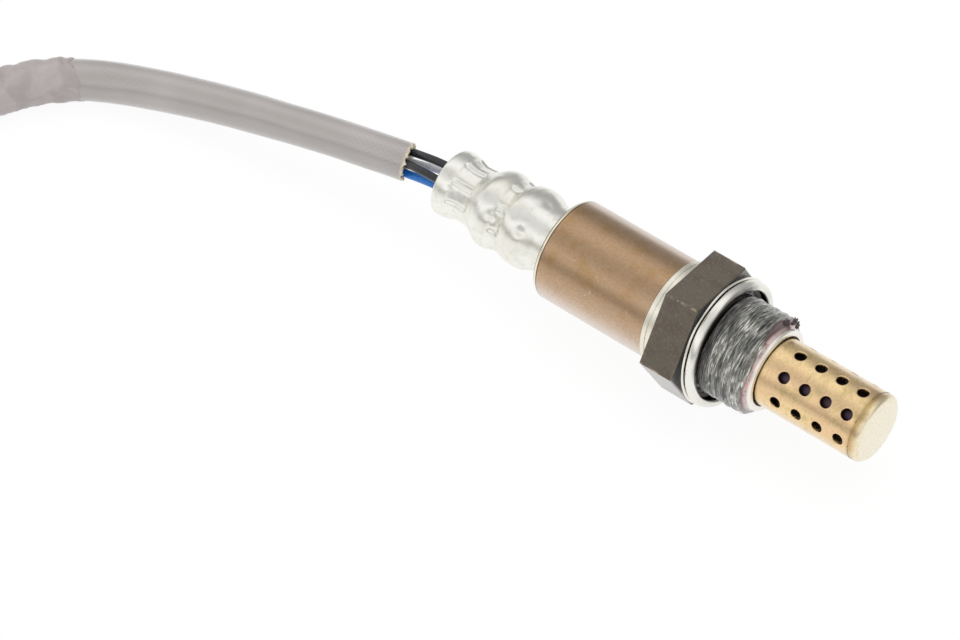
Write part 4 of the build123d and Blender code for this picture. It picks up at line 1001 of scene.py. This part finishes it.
def cord_finish():
    """Coated braid of the cord: faint diagonal strands, slow changes of tone along it and a cream
    frayed edge where it was cut (the cut_edge attribute)."""
    look = Finish("coated_braid_sleeve", Coat_Weight=1.0, Coat_Roughness=0.25, Coat_IOR=1.8,
                  Sheen_Weight=1.0, Sheen_Roughness=0.4)
    lay = look.node("ShaderNodeUVMap", uv_map="lay").outputs[0]
    braid = look.group(BRAID, Lay=lay, Strands=12.0, Pitch=2.6)
    clouds = look.noise(look.place, 60.0)
    patches = look.spread(look.noise(look.place, 34.0, 2.0, 0.5), 0.42, 0.6)
    colour = look.mix(look.spread(clouds, 0.35, 0.68), tone(173, 166, 162), tone(184, 177, 174))
    colour = look.mix(look.times(look.times(braid["Gaps"], patches), 0.24), colour, tone(142, 136, 132))
    cut = look.mark("cut_edge")
    threads = look.noise(look.place, 1500.0, 3.0, 0.6)
    cream = look.mix(look.spread(threads, 0.42, 0.62), tone(248, 236, 208), tone(214, 190, 150))
    height = look.times(braid["Height"], look.scale(patches, 0.75, 0.25))
    height = look.scale(look.times(threads, cut), 3.0, height)
    colour = look.mix(cut, colour, cream)
    return look.feed(colour, look.scale(clouds, 0.15, 0.36), height, lift=0.05, strength=0.35)


def tape_finish():
    """Thin lilac-grey tape, paler where it lifts and darker where it clings."""
    look = Finish("wound_tape", Coat_Weight=0.25, Coat_Roughness=0.3)
    blots = look.noise(look.place, 240.0, 4.0, 0.6, warp=0.7)
    folds = look.noise(look.place, 520.0, 4.0, 0.6, warp=0.8)
    colour = look.mix(look.spread(blots, 0.36, 0.62), tone(176, 167, 165), tone(190, 181, 180))
    colour = look.mix(look.spread(folds, 0.5, 0.75, 0.0, 0.3), colour, tone(206, 198, 200))
    height = look.maths("ADD", blots, folds)
    return look.feed(colour, look.scale(blots, 0.2, 0.32), height, lift=0.1, strength=0.5)


FINISHES = {
    "shell": shell_finish(),
    "gasket": gasket_finish(),
    "crumb": plastic("dried_paste", tone(58, 46, 48), tone(112, 98, 100), 0.5, patch=1500.0),
    "protector": protector_finish(),
    "inner_cup": plain_metal("dark_inner_cup", tone(92, 78, 92), tone(84, 66, 70), tone(70, 66, 84), 0.45),
    "bright": plain_metal("bright_ring_steel", tone(244, 240, 226), tone(240, 230, 206), tone(226, 222, 210),
                          0.34, tint=0.5),
    "sleeve": sleeve_finish(),
    "tube": plain_metal("bright_drawn_tube", tone(246, 245, 238), tone(238, 235, 222), tone(222, 222, 212),
                        0.3, patch=200.0),
    "ceramic": plastic("white_ceramic", tone(232, 228, 216), tone(222, 216, 202), 0.45),
    "talc": plastic("pressed_powder", tone(196, 192, 184), tone(180, 176, 168), 0.8),
    "contact": plain_metal("contact_alloy", tone(206, 200, 184), tone(200, 190, 166), tone(190, 188, 180),
                           0.3),
    "grommet": plastic("grommet_rubber", tone(44, 44, 46), tone(58, 57, 58), 0.6),
    "vent": plastic("porous_vent", tone(232, 232, 228), tone(220, 220, 216), 0.7),
    "black": plastic("black_insulation", tone(30, 31, 36), tone(46, 47, 52), 0.34, coat=0.3),
    "white": plastic("white_insulation", tone(238, 238, 241), tone(214, 216, 224), 0.34, coat=0.3),
    "blue": plastic("blue_insulation", tone(12, 104, 206), tone(34, 128, 220), 0.34, coat=0.3),
    "cord": cord_finish(),
    "tape": tape_finish(),
    "tie": plastic("tie_nylon", tone(34, 34, 35), tone(48, 48, 49), 0.42),
    "connector": plastic("connector_shell", tone(52, 53, 56), tone(66, 67, 70), 0.48),
    "seal": plastic("seal_silicone", tone(168, 92, 60), tone(154, 82, 52), 0.5),
    "lock": plastic("lock_plate", tone(206, 204, 198), tone(194, 192, 186), 0.45),
    "terminal": plain_metal("plated_terminal", tone(216, 200, 150), tone(206, 190, 140), tone(200, 190, 160),
                            0.28),
}

# CAD pieces that stay as they are and only take a finish
FINISHED_NODES = {
    "bright": ("collar_ring", "seat_washer", "packing_ring", "carrier_spring"),
    "sleeve": ("body_sleeve",),
    "ceramic": ("sensing_element", "heater_rod", "ceramic_spacer", "contact_carrier"),
    "talc": ("talc_seal",),
    "contact": ("inner_contact", "outer_contact", "heater_terminals"),
    "grommet": ("rubber_grommet",),
    "vent": ("vent_filter",),
    "black": ("lead_black_1", "lead_black_2"),
    "white": ("lead_white",),
    "blue": ("lead_blue",),
    "tie": ("coil_tie",),
    "connector": ("connector_housing", "seal_cover"),
    "seal": ("connector_seal",),
    "lock": ("terminal_lock",),
    "terminal": ("connector_terminals",),
}


# ==== the object ==============================================================================

def dress(piece, finish, nodes=()):
    """Gives a new piece its finish and slot, and makes it ride and stand for its CAD nodes."""
    piece.data.materials.clear()
    piece.data.materials.append(FINISHES[finish])
    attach(piece, "root")
    if nodes:
        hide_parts(*nodes)
    return piece


shell_rows, paste_share = shell_grid()
dress(skin("threaded_shell", shell_rows, closed_rows=True, sharp=32, marks={"paste": paste_share}),
      "shell", ["hex_housing"])
for number, crumb in enumerate(CRUMBS, 1):
    dress(skin(f"paste_crumb_{number}", crumb_grid(*crumb)), "crumb")
gasket_rows, bead_shade_share = gasket_grid()
dress(skin("folded_gasket", gasket_rows, closed_rows=True, sharp=50, marks={"bead_shade": bead_shade_share}),
      "gasket", ["seal_gasket"])
dress(cup_mesh("perforated_cup", **OUTER_CUP), "protector", ["outer_protector"])
dress(cup_mesh("inner_perforated_cup", **INNER_CUP), "inner_cup", ["inner_protector"])
dress(skin("crimped_tube", tube_grid(), closed_rows=True, sharp=50), "tube", ["rear_tube"])

for finish, nodes in FINISHED_NODES.items():
    for node in nodes:
        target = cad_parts[node]
        if not target.material_slots:
            target.data.materials.append(None)
        for slot in target.material_slots:
            slot.material = FINISHES[finish]

line_points, line_reach = read_line(route_curve(), LINE_STEP)
cord = dress(cord_mesh(line_points, line_reach), "cord", ["braided_sleeve", "cable_coil"])
tape = dress(tape_mesh(line_points, line_reach), "tape", ["tape_wrap"])


# ==== floor, light, camera ====================================================================

FLOOR_HALF = 3.0
FLOOR_DROP = 0.00002        # the floor lies this much under the object
BACKDROP_WHITE = 1.03
BACKDROP_SHARE = 0.9        # the rest is lit, so that a shadow shows
TABLE_TONE = (0.9, 0.9, 0.9, 1)
TABLE_ROUGHNESS = 0.9
BAND_TOP = 2.0              # brightest level that the curve of bands can hold
# Brightness of the studio round the sensor's axis: (angle from +Z towards -Y, level). Two wide
# soft boxes, dim walls between them and a dim far edge of the table.
STUDIO_BANDS = [
    (-180, 1.1), (-112, 0.92), (-98, 0.50), (-84, 0.42), (-62, 0.40), (-48, 0.48), (-30, 0.86),
    (-12, 1.06), (2, 0.92), (15, 0.70), (31, 0.70), (48, 1.00), (60, 1.12), (71, 0.84), (79, 0.46),
    (90, 0.36), (110, 0.90), (124, 1.2), (180, 1.1),
]
CAMERA_PLACE = (0.274099, -0.394806, 0.504421)
CAMERA_RIGHT = (0.76820, 0.64021, 0.00125)
CAMERA_BACK = (0.44307, -0.53306, 0.72079)
LENS_LENGTH = 161.64


def shown_white(table, lit):
    """Adds to a lit shader so that the camera, and gloss and glass, see nearly white."""
    rays = table.node("ShaderNodeLightPath").outputs
    seen = table.maths("MAXIMUM", rays["Is Glossy Ray"], rays["Is Transmission Ray"])
    seen = table.maths("MAXIMUM", rays["Is Camera Ray"], seen)
    white = table.node("ShaderNodeEmission", {"Color": (1, 1, 1, 1), "Strength": BACKDROP_WHITE}).outputs[0]
    share = table.times(seen, BACKDROP_SHARE)
    return table.node("ShaderNodeMixShader", {0: share, 1: lit, 2: white}).outputs[0]


def make_floor():
    """Wide pale table top that keeps a soft shadow."""
    mesh = bpy.data.meshes.new("table_top")
    near, far = -FLOOR_HALF, FLOOR_HALF
    corners = [(near, near), (far, near), (far, far), (near, far)]
    mesh.from_pydata([(x, y, FLOOR_Z - FLOOR_DROP) for x, y in corners], [], [(0, 1, 2, 3)])
    top = add_object("table_top", mesh)
    made = bpy.data.materials.new("pale_table")
    made.use_nodes = True
    table = Recipe(made.node_tree)
    shader = table.tree.nodes["Principled BSDF"]
    shader.inputs["Base Color"].default_value = TABLE_TONE
    shader.inputs["Roughness"].default_value = TABLE_ROUGHNESS
    surface = table.tree.nodes["Material Output"].inputs["Surface"]
    table.give(surface, shown_white(table, shader.outputs[0]))
    mesh.materials.append(made)


def make_world():
    """Studio walls: white to the camera, and soft bands that run along the sensor to its metal."""
    world = bpy.data.worlds.new("studio")
    bpy.context.scene.world = world
    world.use_nodes = True
    walls = Recipe(world.node_tree)
    way = walls.split(walls.node("ShaderNodeTexCoord").outputs["Generated"])
    around = walls.maths("ARCTAN2", walls.times(way["Y"], -1.0), way["Z"])
    curve = walls.node("ShaderNodeFloatCurve", {"Value": walls.scale(around, 1 / (2 * pi), 0.5)})
    points = curve.mapping.curves[0].points
    for angle, level in STUDIO_BANDS[1:-1]:
        points.new((angle + 180) / 360, level / BAND_TOP)
    points[0].location = (0.0, STUDIO_BANDS[0][1] / BAND_TOP)
    points[-1].location = (1.0, STUDIO_BANDS[-1][1] / BAND_TOP)
    curve.mapping.update()
    camera_ray = walls.node("ShaderNodeLightPath").outputs["Is Camera Ray"]
    bands = walls.times(walls.times(curve.outputs[0], BAND_TOP), walls.maths("SUBTRACT", 1.0, camera_ray))
    background = walls.tree.nodes["Background"].inputs
    background["Strength"].default_value = 1.0
    walls.give(background["Color"], walls.maths("ADD", bands, camera_ray))


def soft_box(name, angle, distance, size, power):
    """Rectangular lamp aimed at the sensor, at an angle round its axis. Its own reflection is left
    to the studio bands."""
    lamp = bpy.data.lights.new(name, "AREA")
    lamp.shape = "RECTANGLE"
    lamp.size, lamp.size_y = size
    lamp.energy = power
    holder = add_object(name, lamp)
    place = Vector((0.0, -sin(radians(angle)) * distance, cos(radians(angle)) * distance))
    holder.location = place
    holder.rotation_euler = (-place).to_track_quat("-Z", "Y").to_euler()
    holder.visible_glossy = False


def make_camera():
    """Long lens from the front right, above the table."""
    lens = bpy.data.cameras.new("view")
    lens.lens = LENS_LENGTH
    lens.sensor_width = 36.0
    lens.clip_start = 0.05
    lens.clip_end = 20
    holder = add_object("view", lens)
    back = Vector(CAMERA_BACK).normalized()
    up = back.cross(Vector(CAMERA_RIGHT)).normalized()
    turn = Matrix((up.cross(back), up, back)).transposed().to_4x4()
    holder.matrix_world = Matrix.Translation(CAMERA_PLACE) @ turn
    bpy.context.scene.camera = holder


make_floor()
make_world()
soft_box("overhead_box", angle=-18, distance=1.0, size=(1.4, 0.7), power=1.6)
make_camera()
bpy.context.scene.view_settings.view_transform = "Standard"
